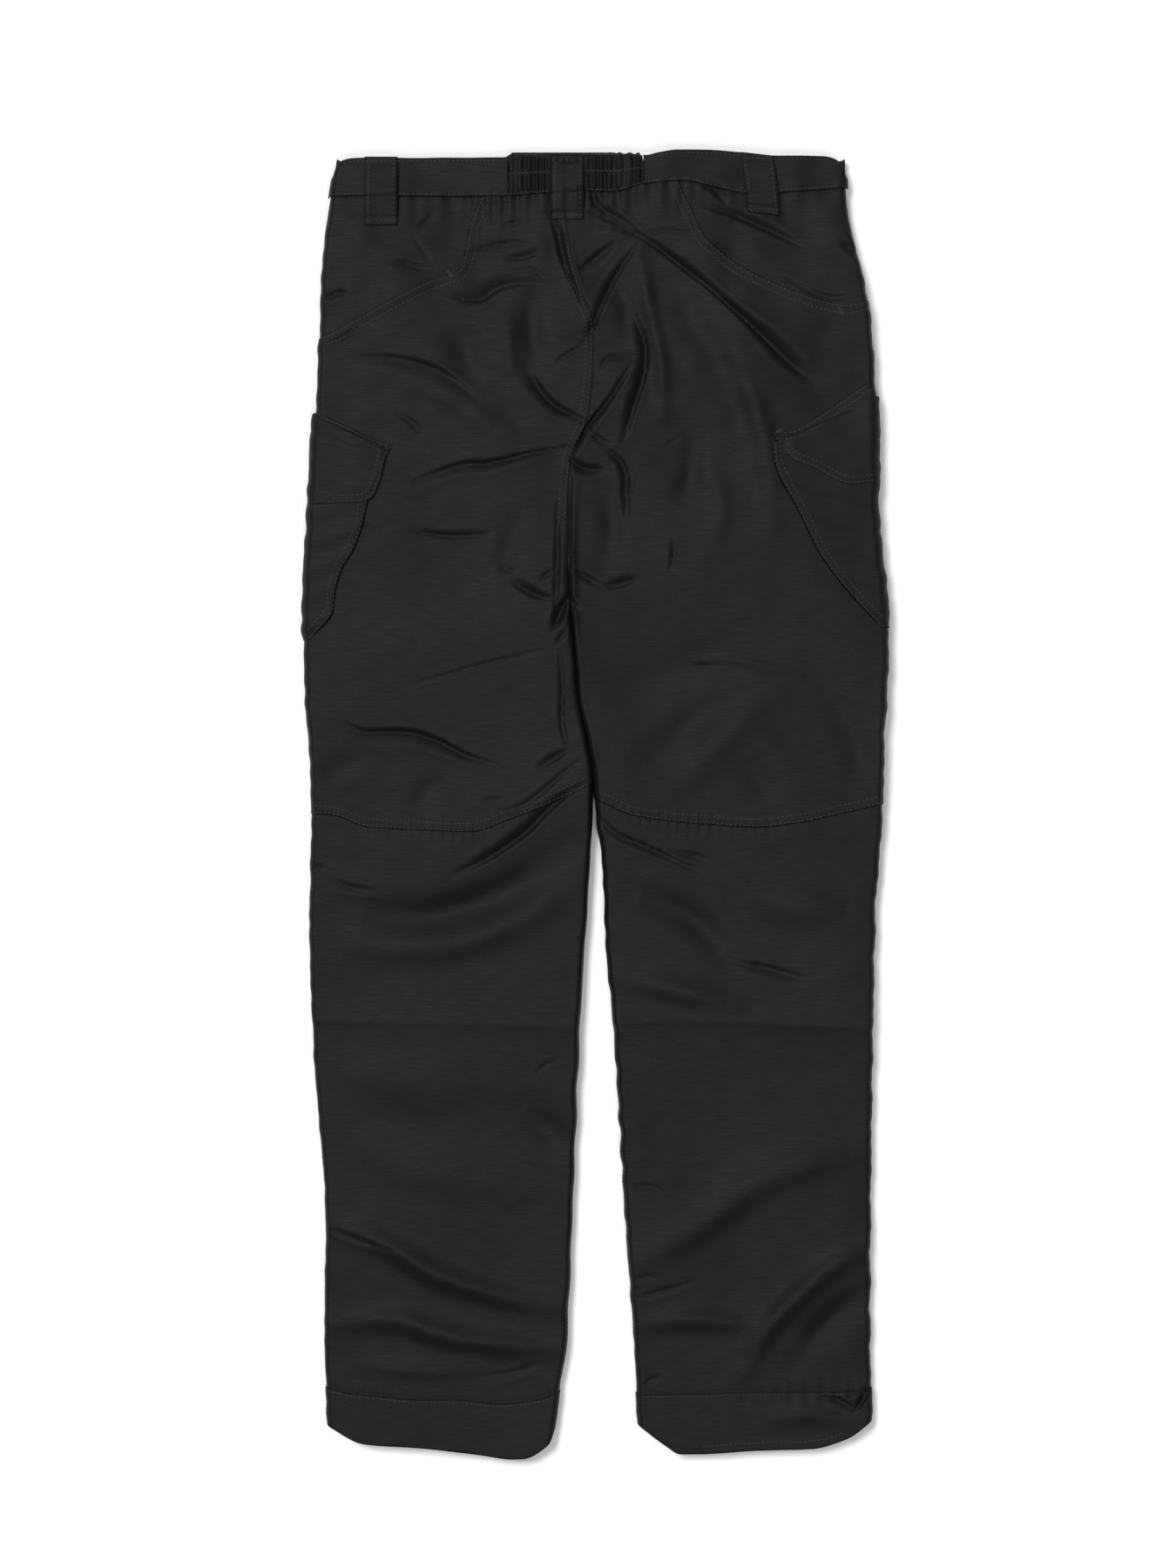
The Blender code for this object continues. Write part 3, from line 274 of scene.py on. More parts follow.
# Broad soft ridges, and hollows with a height below 0: (points, half width, height)
SWELLS = [
    ([(0.033, 0.445), (0.043, 0.395), (0.052, 0.350), (0.053, 0.310)], 6.0, 2.6),
    ([(0.016, 0.420), (0.024, 0.395), (0.020, 0.370)], 7.0, -1.8),
    ([(0.062, 0.420), (0.088, 0.370), (0.108, 0.330), (0.118, 0.290)], 14.0, -2.4),
    ([(0.110, 0.360), (0.128, 0.315), (0.136, 0.285), (0.140, 0.225)], 9.0, 2.4),
    ([(0.078, 0.300), (0.074, 0.260), (0.062, 0.235)], 8.0, -2.0),
    ([(0.094, 0.265), (0.100, 0.235), (0.090, 0.205)], 9.0, 1.8),
    ([(-0.050, 0.415), (-0.053, 0.383), (-0.046, 0.350)], 9.0, -3.0),
    ([(-0.072, 0.400), (-0.070, 0.360), (-0.058, 0.325)], 7.0, 1.8),
    ([(-0.130, 0.408), (-0.108, 0.368), (-0.092, 0.330)], 12.0, -2.0),
    ([(-0.165, 0.345), (-0.120, 0.325), (-0.075, 0.300)], 10.0, 2.2),
    ([(-0.060, 0.235), (-0.072, 0.200), (-0.066, 0.180)], 8.0, -1.6),
    ([(0.010, 0.250), (0.012, 0.215), (0.008, 0.195)], 10.0, -2.6),
    ([(-0.0170, 0.255), (-0.0190, 0.215), (-0.0180, 0.160), (-0.0165, 0.110), (-0.010, 0.065), (0.000, 0.035)],
     2.6, 2.2),
    ([(0.078, 0.1165), (0.112, 0.1155), (0.163, 0.1040)], 3.0, 1.2),
    ([(-0.010, 0.085), (0.040, 0.095), (0.090, 0.115), (0.130, 0.130)], 18.0, -2.4),
    ([(0.035, 0.030), (0.075, 0.065), (0.110, 0.090)], 13.0, -3.0),
    ([(0.060, 0.010), (0.100, 0.050), (0.140, 0.085)], 13.0, 2.6),
    ([(0.118, 0.040), (0.132, 0.018), (0.140, -0.005)], 13.0, -2.6),
    ([(0.190, 0.090), (0.208, 0.045), (0.206, 0.010)], 12.0, -2.0),
    ([(-0.221, 0.020), (-0.204, 0.030), (-0.190, 0.036)], 9.0, -2.0),
    ([(-0.150, -0.005), (-0.136, 0.010), (-0.122, 0.026)], 9.0, -1.8),
    ([(-0.205, 0.120), (-0.140, 0.135), (-0.070, 0.145)], 24.0, 1.8),
    ([(-0.200, -0.085), (-0.140, -0.090), (-0.075, -0.070), (-0.020, -0.030)], 13.0, -3.4),
    ([(-0.190, -0.115), (-0.120, -0.112), (-0.060, -0.092), (-0.018, -0.062)], 13.0, 2.6),
    ([(0.030, -0.070), (0.080, -0.095), (0.105, -0.125)], 12.0, -2.6),
    ([(0.120, -0.060), (0.150, -0.080), (0.205, -0.085)], 16.0, 2.0),
    ([(0.020, -0.140), (0.070, -0.150), (0.110, -0.160)], 10.0, 2.2),
    ([(-0.220, -0.2100), (-0.150, -0.2250), (-0.060, -0.2200)], 22.0, 1.6),
    ([(-0.060, -0.2450), (-0.035, -0.2650), (-0.020, -0.2800)], 12.0, -1.8),
    ([(-0.2157, -0.3370), (-0.1871, -0.3450), (-0.1648, -0.3560), (-0.1266, -0.3780), (-0.0789, -0.3940),
      (-0.0344, -0.4030)], 9.0, 2.8),
    ([(-0.2157, -0.4170), (-0.1616, -0.4140), (-0.1330, -0.4230), (-0.0948, -0.4310), (-0.0280, -0.4380)], 9.0, 2.8),
    ([(-0.1850, -0.4500), (-0.1450, -0.4550), (-0.1000, -0.4540)], 7.0, 1.2),
    ([(-0.2080, -0.2700), (-0.1200, -0.2950), (-0.0300, -0.3050)], 22.0, 1.6),
    ([(0.0320, -0.3700), (0.0850, -0.3350), (0.1350, -0.3000), (0.2150, -0.2750)], 14.0, 2.6),
    ([(0.0325, -0.4170), (0.0802, -0.4140), (0.1216, -0.4180)], 8.0, 1.9),
    ([(0.2202, -0.3530), (0.1884, -0.3710), (0.1565, -0.3990), (0.1343, -0.4250), (0.1184, -0.4560)], 9.0, 2.8),
    ([(0.2180, -0.3900), (0.1880, -0.4150), (0.1620, -0.4450)], 11.0, -2.6),
    ([(0.1350, -0.4950), (0.1700, -0.4900), (0.2000, -0.4960)], 9.0, 1.4),
]


def from_line(x, y, line):
    """Signed distance from a line and the share of the way along it, for arrays of places."""
    best = np.full(x.shape, 1e9)
    signed, share = np.zeros(x.shape), np.zeros(x.shape)
    lengths = np.hypot(*np.diff(line, axis=0).T)
    total, done = lengths.sum(), 0.0
    for (ax, ay), (bx, by), length in zip(line[:-1], line[1:], lengths):
        dx, dy = (bx - ax) / length, (by - ay) / length
        along = np.clip((x - ax) * dx + (y - ay) * dy, 0, length)
        px, py = x - ax - along * dx, y - ay - along * dy
        far = px * px + py * py
        nearer = far < best
        best = np.where(nearer, far, best)
        signed = np.where(nearer, np.sqrt(far) * np.sign(dx * py - dy * px + 1e-12), signed)
        share = np.where(nearer, (done + along) / total, share)
        done += length
    return signed, share


def near_line(x, y, line, reach):
    return ((x > line[:, 0].min() - reach) & (x < line[:, 0].max() + reach)
            & (y > line[:, 1].min() - reach) & (y < line[:, 1].max() + reach))


def slack_waves(seed, count, shortest, longest, height):
    """Broad seeded waves in all directions, as a function of place."""
    random = np.random.default_rng(seed)
    angle = random.uniform(0, math.pi, count)
    length = random.uniform(shortest, longest, count)
    phase = random.uniform(0, math.tau, count)
    size = height * random.uniform(0.4, 1.0, count) / math.sqrt(count)

    def waves(x, y):
        total = np.zeros(np.shape(x))
        for a, l, p, s in zip(angle, length, phase, size):
            total += s * np.sin(math.tau * (x * math.cos(a) + y * math.sin(a)) / l + p)
        return total

    return waves


broad_waves = slack_waves(11, 14, 0.090, 0.220, 2.4 * MM)
small_waves = slack_waves(12, 18, 0.022, 0.055, 0.55 * MM)
CREASE_LINES = [(rounded_path(points), first * MM, last * MM, depth * MM, lean)
                for points, first, last, depth, lean in CREASES]
SWELL_LINES = [(rounded_path(points), width * MM, height * MM) for points, width, height in SWELLS]


def creases(x, y):
    """How far the creases and slack lift the cloth at each place."""
    height = broad_waves(x, y) + small_waves(x, y) * (0.5 + ease(0.1, 0.45, y))
    for line, first, last, depth, lean in CREASE_LINES:
        near = near_line(x, y, line, 6 * max(first, last))
        if not near.any():
            continue
        signed, share = from_line(x[near], y[near], line)
        taper = np.sin(np.clip(share, 0.02, 0.98) * math.pi) ** 0.6
        width = (first + (last - first) * share) * (0.5 + 0.5 * taper)
        steep = np.where(signed * lean > 0, 1 - abs(lean), 1 + 1.6 * abs(lean))
        q = np.abs(signed) / (width * steep)
        height[near] -= CREASE_STRENGTH * depth * taper * (np.exp(-q**1.5) - 0.16 * np.exp(-((q - 2.0) / 0.9) ** 2))
    for line, width, top in SWELL_LINES:
        near = near_line(x, y, line, 3.2 * width)
        if near.any():
            signed, share = from_line(x[near], y[near], line)
            beyond = np.abs(signed) / width
            firm = 1.25 + 0.95 * ease(0.02, -0.10, y[near])  # the lower legs fill out more
            height[near] += firm * top * np.sin(np.clip(share, 0.06, 0.94) * math.pi) ** 0.7 * np.exp(-beyond**2)
    return height


# %% [markdown]
# ## Seams
#
# A felled seam is a double layer with two rows of stitches. The thread pulls the cloth in, so the
# seam lies a little lower than the cloth beside it and the cloth puckers along it. The packing
# crease behind the knees is sharper but shallow. All of these are added to the height as well.

# %% Seam lines and their relief
MOUTH = {
    LEFT: [(-0.0905, 0.4950), (-0.0951, 0.4819), (-0.1024, 0.4645), (-0.1045, 0.4470), (-0.1097, 0.4300),
           (-0.1180, 0.4255), (-0.1330, 0.4207), (-0.1622, 0.4061), (-0.1913, 0.3901), (-0.2210, 0.3745)],
    RIGHT: [(0.0635, 0.5040), (0.0741, 0.4819), (0.0858, 0.4572), (0.0945, 0.4484), (0.1149, 0.4324),
            (0.1441, 0.4178), (0.1703, 0.4076), (0.1937, 0.4017), (0.2080, 0.4022), (0.2210, 0.4055)],
}
WAIST_LINE = curve([(-0.2147, 0.4884), (-0.1622, 0.4884), (-0.0747, 0.4884), (-0.0455, 0.4903), (-0.0105, 0.4925),
                    (0.0128, 0.4918), (0.0362, 0.4975), (0.0712, 0.5010), (0.0887, 0.4970), (0.1237, 0.4907),
                    (0.1600, 0.4925), (0.2010, 0.4960)])
KNEE = {
    LEFT: [(-0.2340, -0.0070), (-0.2090, -0.0095), (-0.1855, -0.0180), (-0.1450, -0.0205), (-0.1000, -0.0220),
           (-0.0715, -0.0125), (-0.0405, -0.0010), (0.0000, 0.0185)],
    RIGHT: [(-0.0060, 0.0060), (0.0070, 0.0005), (0.0275, -0.0085), (0.0540, -0.0130), (0.0930, -0.0165),
            (0.1295, -0.0185), (0.1645, -0.0145), (0.1920, -0.0085), (0.2340, 0.0010)],
}
knee_y = {side: curve(KNEE[side]) for side in KNEE}
CENTRE_LINE = rounded_path([(x, y) for y, x in CENTRE_SEAM if y > 0.20])
KNEE_LINE = {side: rounded_path(KNEE[side]) for side in KNEE}
HEM = {
    LEFT: [(-0.2200, -0.4690), (-0.1935, -0.4739), (-0.1744, -0.4755), (-0.1425, -0.4783), (-0.1107, -0.4786),
           (-0.0789, -0.4820), (-0.0471, -0.4786), (-0.0250, -0.4700)],
    RIGHT: [(0.0300, -0.4742), (0.0802, -0.4739), (0.1120, -0.4727), (0.2070, -0.4723), (0.2250, -0.4690)],
}
hem_y = {side: curve(HEM[side]) for side in HEM}
HEM_LINE = {side: rounded_path(HEM[side]) for side in HEM}
FOLD_LINE = {LEFT: rounded_path([(-0.230, -0.1735), (-0.15, -0.1745), (-0.09, -0.1760), (-0.012, -0.1785)]),
             RIGHT: rounded_path([(0.012, -0.1755), (0.06, -0.1730), (0.12, -0.1745), (0.225, -0.1795)])}


def pucker(x, y, line, ripple, height, reach, groove, seed):
    """Ripples across a seam that die away from it, and the groove of the seam itself."""
    lift = np.zeros(np.shape(x))
    near = near_line(x, y, line, 3 * reach)
    if near.any():
        signed, share = from_line(x[near], y[near], line)
        run = share * np.hypot(*np.diff(line, axis=0).T).sum()
        random = np.random.default_rng(seed)
        wander = sum(random.uniform(0.5, 1.4) * np.sin(run / random.uniform(0.02, 0.06) + random.uniform(0, 6))
                     for _ in range(3))
        swell = 0.55 + 0.45 * np.sin(run / 0.037 + seed)
        lift[near] = (height * swell * np.sin(math.tau * run / ripple + wander) * np.exp(-(signed / reach) ** 2)
                      - groove * np.exp(-(signed / (0.9 * MM)) ** 2))
    return lift


def packing_crease(x, y, line, height):
    """The line left where the legs were folded for packing: a low ridge with a crisp crest."""
    lift = np.zeros(np.shape(x))
    near = near_line(x, y, line, 0.06)
    if near.any():
        signed, share = from_line(x[near], y[near], line)
        firm = 0.8 + 0.2 * np.sin(share * 9 + 1)
        lift[near] = firm * (height * np.exp(-np.abs(signed) / 0.015) + 0.4 * MM * np.exp(-(signed / 0.0016) ** 2))
    return lift


def relief(x, y):
    """Everything that lifts or lowers the back of the cloth from its flat lie."""
    lift = creases(x, y)
    lift += pucker(x, y, CENTRE_LINE, 0.0095, 0.35 * MM, 0.009, 0.7 * MM, 21)
    for side in (LEFT, RIGHT):
        lift += pucker(x, y, KNEE_LINE[side], 0.0082, 0.55 * MM, 0.008, 0.6 * MM, 30 + side)
        lift += pucker(x, y, HEM_LINE[side], 0.0115, 0.55 * MM, 0.008, 0.5 * MM, 40 + side)
        lift += packing_crease(x, y, FOLD_LINE[side], (2.4 if side == LEFT else 3.8) * MM)
    below = WAIST_LINE(x) - y
    under_waist = np.exp(-(below / 0.016).clip(0) ** 1.5) * ease(-0.005, 0.001, below)
    gathered = ease(0.125, 0.06, np.abs(x + 0.014))
    lift += under_waist * gathered * 1.1 * MM * np.sin(math.tau * x / 0.0115 + 2.1 * np.sin(x / 0.013))
    lift += under_waist * (1 - gathered) * 0.35 * MM * np.sin(math.tau * x / 0.016 + 1.7 * np.sin(x / 0.021))
    return lift


def settle(x, y, drop):
    """Height of the back of the garment, given how far it has turned down at an edge."""
    return loft(y) * (1 - drop / 2) + relief(x, y) * (1 - drop) ** 1.2


def turn_down(across, span, closing=None):
    """Distance in from the outer fold, the drop from the flat, and which way the cloth faces across.

    across is 0 at the outer fold, 1 to 2 over the flat and 3 at the inseam. A panel that stops short
    of the inseam has no closing and ends at 2. The facing is 1 straight outwards, 0 up, -1 inwards."""
    across = np.asarray(across, float)
    outer = np.clip(across, 0, 1) * math.pi / 2
    inner = np.clip(3 - across, 0, 1) * math.pi / 2
    reach = span - EDGE_ROUND * (1 if closing is None else 2)
    along = np.where(across <= 1, EDGE_ROUND * (1 - np.cos(outer)), EDGE_ROUND + reach * (across - 1))
    drop, facing = np.where(across <= 1, 1 - np.sin(outer), 0.0), np.where(across <= 1, np.cos(outer), 0.0)
    if closing is not None:
        late = across > 2
        along = np.where(late, span - EDGE_ROUND * (1 - np.cos(inner)), along)
        drop = np.where(late, closing * (1 - np.sin(inner)), drop)
        facing = np.where(late, -closing * np.cos(inner), facing)
    return along, drop, facing


def closing_at(y):
    return ease(CROTCH_OPEN, CROTCH_CLOSED, y)


def drop_at(side, x, y):
    """The drop of the back at a place inside the outline."""
    outer = np.clip(1 - np.abs(x - outer_x[side](y)) / EDGE_ROUND, 0, 1)
    inner = np.clip(1 - np.abs(x - inner_x[side](y)) / EDGE_ROUND, 0, 1)
    return np.maximum(1 - np.sqrt(1 - outer**2), closing_at(y) * (1 - np.sqrt(1 - inner**2)))


def back_z(x, y):
    """Height of the back of the garment at any place on it."""
    x, y = np.broadcast_arrays(np.asarray(x, float), np.asarray(y, float))
    side_is_right = x > inner_x[RIGHT](y)
    drop = np.where(side_is_right, drop_at(RIGHT, x, y), drop_at(LEFT, x, y))
    return settle(x.copy(), y.copy(), drop)


print(f"{len(CREASES)} creases, deepest {max(c[3] for c in CREASES):.1f} mm")

# %% [markdown]
# ## Finishes
#
# The shell is a plain-woven nylon with thick and thin weft threads, so faint streaks run across
# the pants. Dark dyed nylon reflects very little from inside, and the weave breaks its shine into
# a soft satin. One function turns screen colours to linear light, and one adds a node with its
# settings and links. Cloth patterns read the piece's own UV map, which is laid out in metres.

# %% Material helpers
def linear(hex_colour):
    """An sRGB hex colour as linear RGBA."""
    parts = [int(hex_colour[i:i + 2], 16) / 255 for i in (1, 3, 5)]
    return (*(c / 12.92 if c <= 0.04045 else ((c + 0.055) / 1.055) ** 2.4 for c in parts), 1.0)


def add(tree, kind, links=None, **settings):
    """Adds a node. A setting goes on the node or, by its name, on an input. A link maps an input to an output."""
    node = tree.nodes.new(kind)
    for name, value in settings.items():
        if name in node.inputs:
            node.inputs[name].default_value = value
        else:
            setattr(node, name, value)
    for name, source in (links or {}).items():
        tree.links.new(source, node.inputs[name])
    return node


def new_material(name, colour, roughness, specular=0.5, metallic=0.0, sheen=0.0):
    material = bpy.data.materials.new(name)
    material.use_nodes = True
    shader = material.node_tree.nodes["Principled BSDF"]
    for socket, value in (("Base Color", linear(colour)), ("Roughness", roughness),
                          ("Specular IOR Level", specular), ("Metallic", metallic), ("Sheen Weight", sheen)):
        shader.inputs[socket].default_value = value
    return material, material.node_tree, shader


def stretched_noise(tree, coordinate, per_metre, detail=2.0, roughness=0.55):
    """Noise with so many grains to the metre along each axis."""
    place = add(tree, "ShaderNodeMapping", {"Vector": coordinate}, Scale=per_metre)
    return add(tree, "ShaderNodeTexNoise", {"Vector": place.outputs["Vector"]}, Scale=1.0, Detail=detail,
               Roughness=roughness).outputs["Fac"]


def woven(name, light, dark, roughness, specular, slub_per_metre, bump=1.0, sheen=0.0):
    """Cloth with streaks of thicker weft thread, a fine weave and slow changes of tone."""
    material, tree, shader = new_material(name, light, roughness, specular, sheen=sheen)
    uv = add(tree, "ShaderNodeUVMap", uv_map="cloth").outputs["UV"]
    slub = stretched_noise(tree, uv, slub_per_metre, 3.0)
    # The real threads are 0.3 mm apart, too fine to show, so the weave is drawn three times as coarse.
    weft = stretched_noise(tree, uv, (260.0, 1050.0, 1.0), 1.0)
    warp = stretched_noise(tree, uv, (1050.0, 240.0, 1.0), 1.0)
    cloud = stretched_noise(tree, uv, (14.0, 11.0, 1.0), 2.0)
    weave = add(tree, "ShaderNodeMath", {0: weft, 1: warp}, operation="ADD").outputs[0]
    tone = add(tree, "ShaderNodeMath", {0: slub, 1: weave}, operation="ADD").outputs[0]
    tone = add(tree, "ShaderNodeMath", {0: tone, 1: cloud}, operation="ADD").outputs[0]
    share = add(tree, "ShaderNodeMapRange", {"Value": tone}, **{"From Min": 1.55, "From Max": 2.45}).outputs[0]
    colour = add(tree, "ShaderNodeMix", {"Factor": share}, data_type="RGBA")
    colour.inputs[6].default_value, colour.inputs[7].default_value = linear(dark), linear(light)
    tree.links.new(colour.outputs[2], shader.inputs["Base Color"])
    gloss = add(tree, "ShaderNodeMapRange", {"Value": slub},
                **{"From Min": 0.3, "From Max": 0.7, "To Min": roughness + 0.05, "To Max": roughness - 0.06})
    tree.links.new(gloss.outputs[0], shader.inputs["Roughness"])
    height = add(tree, "ShaderNodeMath", {0: slub, 1: weave}, operation="ADD").outputs[0]
    relief_node = add(tree, "ShaderNodeBump", {"Height": height}, Strength=0.32 * bump, Distance=0.00035)
    tree.links.new(relief_node.outputs[0], shader.inputs["Normal"])
    return material


def grained(name, colour, roughness, specular, metallic, per_metre, bump, distance=0.0001):
    """A moulded, cast or plated finish with a fine grain, on object coordinates."""
    material, tree, shader = new_material(name, colour, roughness, specular, metallic)
    place = add(tree, "ShaderNodeTexCoord").outputs["Object"]
    grain = stretched_noise(tree, place, (per_metre,) * 3, 3.0)
    wear = stretched_noise(tree, place, (per_metre / 6,) * 3, 2.0)
    gloss = add(tree, "ShaderNodeMapRange", {"Value": wear},
                **{"From Min": 0.3, "From Max": 0.7, "To Min": roughness - 0.08, "To Max": roughness + 0.1})
    tree.links.new(gloss.outputs[0], shader.inputs["Roughness"])
    node = add(tree, "ShaderNodeBump", {"Height": grain}, Strength=bump, Distance=distance)
    tree.links.new(node.outputs[0], shader.inputs["Normal"])
    return material


# %% The finishes of the pants
# Woven nylon, dyed black and lightly calendered: a soft satin with crosswise slubs.
SHELL_NYLON = woven("slub_nylon_black", "#131313", "#0e0e0e", 0.61, 0.13, (64.0, 700.0, 1.0), bump=0.6)
# Polyester taffeta lining, for the gaiter cuffs, the pocket bags and the fly guard.
TAFFETA = woven("polyester_taffeta_charcoal", "#2c2c2f", "#232326", 0.45, 0.35, (10.0, 220.0, 1.0), bump=0.5)
# Woven rubber-cored elastic, with raised lengthways ribs.
ELASTIC = woven("woven_elastic_black", "#1b1b1c", "#101011", 0.75, 0.25, (6.0, 520.0, 1.0), bump=1.6)
# Polyester tape with a nylon pile of hooks or loops: it scatters all light.
PILE = woven("hook_and_loop_pile_black", "#161617", "#0b0b0c", 0.95, 0.15, (900.0, 900.0, 1.0), bump=3.0)
# Zip tape: a tight herringbone polyester.
ZIP_TAPE = woven("polyester_zip_tape_black", "#191919", "#101010", 0.70, 0.30, (420.0, 420.0, 1.0))
# Spun polyester thread: a rounder, slightly lighter line than the cloth.
THREAD = grained("spun_polyester_thread", "#2c2c2e", 0.60, 0.35, 0.0, 2500.0, 0.3)
COIL = grained("moulded_nylon_coil", "#1c1c1d", 0.35, 0.5, 0.0, 1800.0, 0.2)
# Zinc casting under black lacquer, and brass under black lacquer: both glossy, a little worn.
ZINC = grained("lacquered_zinc_black", "#232325", 0.34, 0.5, 0.6, 900.0, 0.25)
BRASS = grained("lacquered_brass_black", "#2a2927", 0.30, 0.5, 0.7, 700.0, 0.2)
print("finishes:", ", ".join(m.name for m in bpy.data.materials if m.name.islower()))

# %% [markdown]
# ## Making cloth
#
# A panel is a grid of points on the outer face of the cloth, given a real thickness by Solidify.
# A grid keeps the threads' direction, so its UV map is simply each point's place in metres.

# %% Cloth pieces
SHELL_THICK = 0.0007
made_sheets = []


def cloth(name, x, y, z, inside, body, nodes, slot, material=SHELL_NYLON, thick=SHELL_THICK, closed=False, uv=None):
    """A piece of cloth from arrays of places, thickened towards the point called inside."""
    rows, columns = x.shape
    points = np.stack([x, y, z], -1).reshape(-1, 3)
    # Rows that meet at a slanting seam share their points there.
    _, first, index = np.unique(np.round(points / 1e-6).astype(np.int64), axis=0, return_index=True,
                                return_inverse=True)
    points, index = points[first], index.reshape(rows, columns)
    if closed:
        index = np.hstack([index, index[:, :1]])
    faces = np.stack([index[:-1, :-1], index[:-1, 1:], index[1:, 1:], index[1:, :-1]], -1).reshape(-1, 4)
    faces = faces[(faces[:, 0] != faces[:, 2]) & (faces[:, 1] != faces[:, 3])]
    corners = points[faces]
    normal = np.cross(corners[:, 2] - corners[:, 0], corners[:, 3] - corners[:, 1])
    if ((corners.mean(1) - np.array(inside)) * normal).sum() < 0:
        faces = faces[:, ::-1]
    mesh = bpy.data.meshes.new(name)
    faces = [[v for i, v in enumerate(face) if v != face[i - 1]] for face in faces.tolist()]
    faces = [face for face in faces if len(set(face)) == len(face) > 2]
    mesh.from_pydata(points.tolist(), [], faces)
    lay = (np.stack([x, y], -1) if uv is None else np.stack(uv, -1)).reshape(-1, 2)[first]
    lay = lay[np.concatenate(faces)]
    mesh.uv_layers.new(name="cloth").data.foreach_set("uv", lay.astype(np.float32).reshape(-1))
    mesh.shade_smooth()
    mesh.materials.append(material)
    piece = bpy.data.objects.new(name, mesh)
    bpy.context.scene.collection.objects.link(piece)
    if thick:
        solidify = piece.modifiers.new("cloth_thickness", "SOLIDIFY")
        solidify.thickness = thick
        solidify.offset = -1
    if isinstance(body, tuple):
        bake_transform(piece)
    else:
        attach(piece, body)
    if nodes:
        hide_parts(*nodes)
    return piece


def declare_sheet(piece):
    mesh = piece.data
    area = sum(face.area for face in mesh.polygons)
    places = np.array([v.co[:] for v in mesh.vertices])
    size = np.sort(places.max(0) - places.min(0))[::-1]
    length = max(size[0], 0.0101)
    width = max(area / length, 0.0101)
    made_sheets.append((piece.name, width, length))
    return piece


def across_shares(outer_steps, flat_steps, inner_steps=0):
    """Columns from the outer fold, over the flat and, with inner_steps, on round the inseam."""
    flat = np.linspace(1, 2, flat_steps, endpoint=not inner_steps)
    inner = [np.linspace(2, 3, inner_steps + 1)] if inner_steps else []
    return np.concatenate([np.linspace(0, 1, outer_steps, endpoint=False), flat, *inner])


def between_seams(side, top, bottom, columns, rows, stop=None, level_rows=False):
    """A grid of places on the back between two seams that are Y over X. stop is the X where it ends short.

    With level_rows the rows stay level and are cut off at the seams, which suits a steep seam."""
    across = np.tile(columns, (rows, 1))
    share = np.linspace(0, 1, rows)[:, None] * np.ones(len(columns))
    high, low = (seam(np.full(across.shape, side * 0.11)) for seam in (top, bottom))
    y = high * (1 - share) + low * share
    for _ in range(9):
        span = np.abs((inner_x[side](y) if stop is None else stop) - outer_x[side](y))
        along, drop, facing = turn_down(across, span, closing_at(y) if stop is None else None)
        x = outer_x[side](y) - side * along
        if level_rows:
            high, low = top(x), bottom(x)
            even = high.max() + (low.min() - high.max()) * share
            y = np.clip(even, low, high)
        else:
            y = top(x) * (1 - share) + bottom(x) * share
    return x, y, drop, facing


def back_panel(name, side, top, bottom, columns, rows, body, nodes, lift=0.0, stop=None, raise_edge=None,
               thick=SHELL_THICK, level_rows=False):
    """A panel of the back. lift is how far it stands out where it laps over the next one."""
    x, y, drop, facing = between_seams(side, top, bottom, columns, rows, stop, level_rows)
    out = lift + (raise_edge(x, y) if raise_edge else 0.0)
    z = settle(x, y, drop) + out * np.sqrt(1 - facing**2)
    return cloth(name, x + side * facing * out, y, z, (side * 0.11, float(y.mean()), 0.010), body, nodes,
                 "shell_nylon", thick=thick)


def level(y):
    return lambda x: np.full(np.shape(x), y)


# %% [markdown]
# ## Back panels
#
# The thigh panel runs from the waistband and the pocket mouth down to the shaped knee seam. The
# panel below it goes on to the hem and crosses the packing crease, where the leg folds. It is
# left where it lies, not attached to the upper garment or the lower leg, and it does not bend.

# %% Back panels and the pocket facings
BEND_TOP, BEND_BOTTOM = -0.1390, -0.2090
FELL = 0.0045  # how far an upper panel laps over the one below it
LAP = 0.0008  # how far it stands above it


def bending(side):
    return (UPPER, LOWER[side], (0.0, BEND_TOP, 0.0), (0.0, BEND_BOTTOM, 0.0))


def mouth_height(side):
    """The pocket mouth as Y over X, carried on along the waist seam on its inner side."""
    line, waist_x = curve(MOUTH[side]), MOUTH[side][0][0]
    return lambda x: np.where(side * (x - waist_x) > 0, line(x), WAIST_LINE(x) + 0.0035)


def slack_mouth(side):
    """The mouth's edge stands a little open, most in the middle."""
    line = rounded_path(MOUTH[side])

    def stand(x, y):
        signed, share = from_line(x, y, line)
        return 0.0011 * np.exp(-(signed / 0.006) ** 2) * np.sin(np.clip(share, 0, 1) * math.pi)

    return stand


for side in (LEFT, RIGHT):
    name, mouth = SIDE_NAME[side], mouth_height(side)
    stop = MOUTH[side][0][0] - side * 0.010
    declare_sheet(back_panel(f"{name}_back_thigh", side, mouth, knee_y[side], across_shares(9, 116, 9), 280, UPPER,
                             [f"{name}_back_thigh_panel"], LAP, raise_edge=slack_mouth(side), level_rows=True))
    declare_sheet(back_panel(f"{name}_back_lower_leg", side, lambda x, s=side: knee_y[s](x) + FELL,
                             lambda x, s=side: hem_y[s](x) - 0.004, across_shares(9, 100, 9), 225, bending(side),
                             [f"{name}_back_knee_panel", f"{name}_back_calf_panel"]))
    declare_sheet(back_panel(f"{name}_back_facing", side, lambda x: WAIST_LINE(x) + 0.0035,
                             lambda x, m=curve(MOUTH[side]): m(x) - 0.010, across_shares(9, 62), 76, UPPER,
                             [f"{name}_back_pocket_facing"], stop=stop, level_rows=True))
print("back:", ", ".join(f"{name} {width * 1000:.0f} x {length * 1000:.0f} mm" for name, width, length in made_sheets))

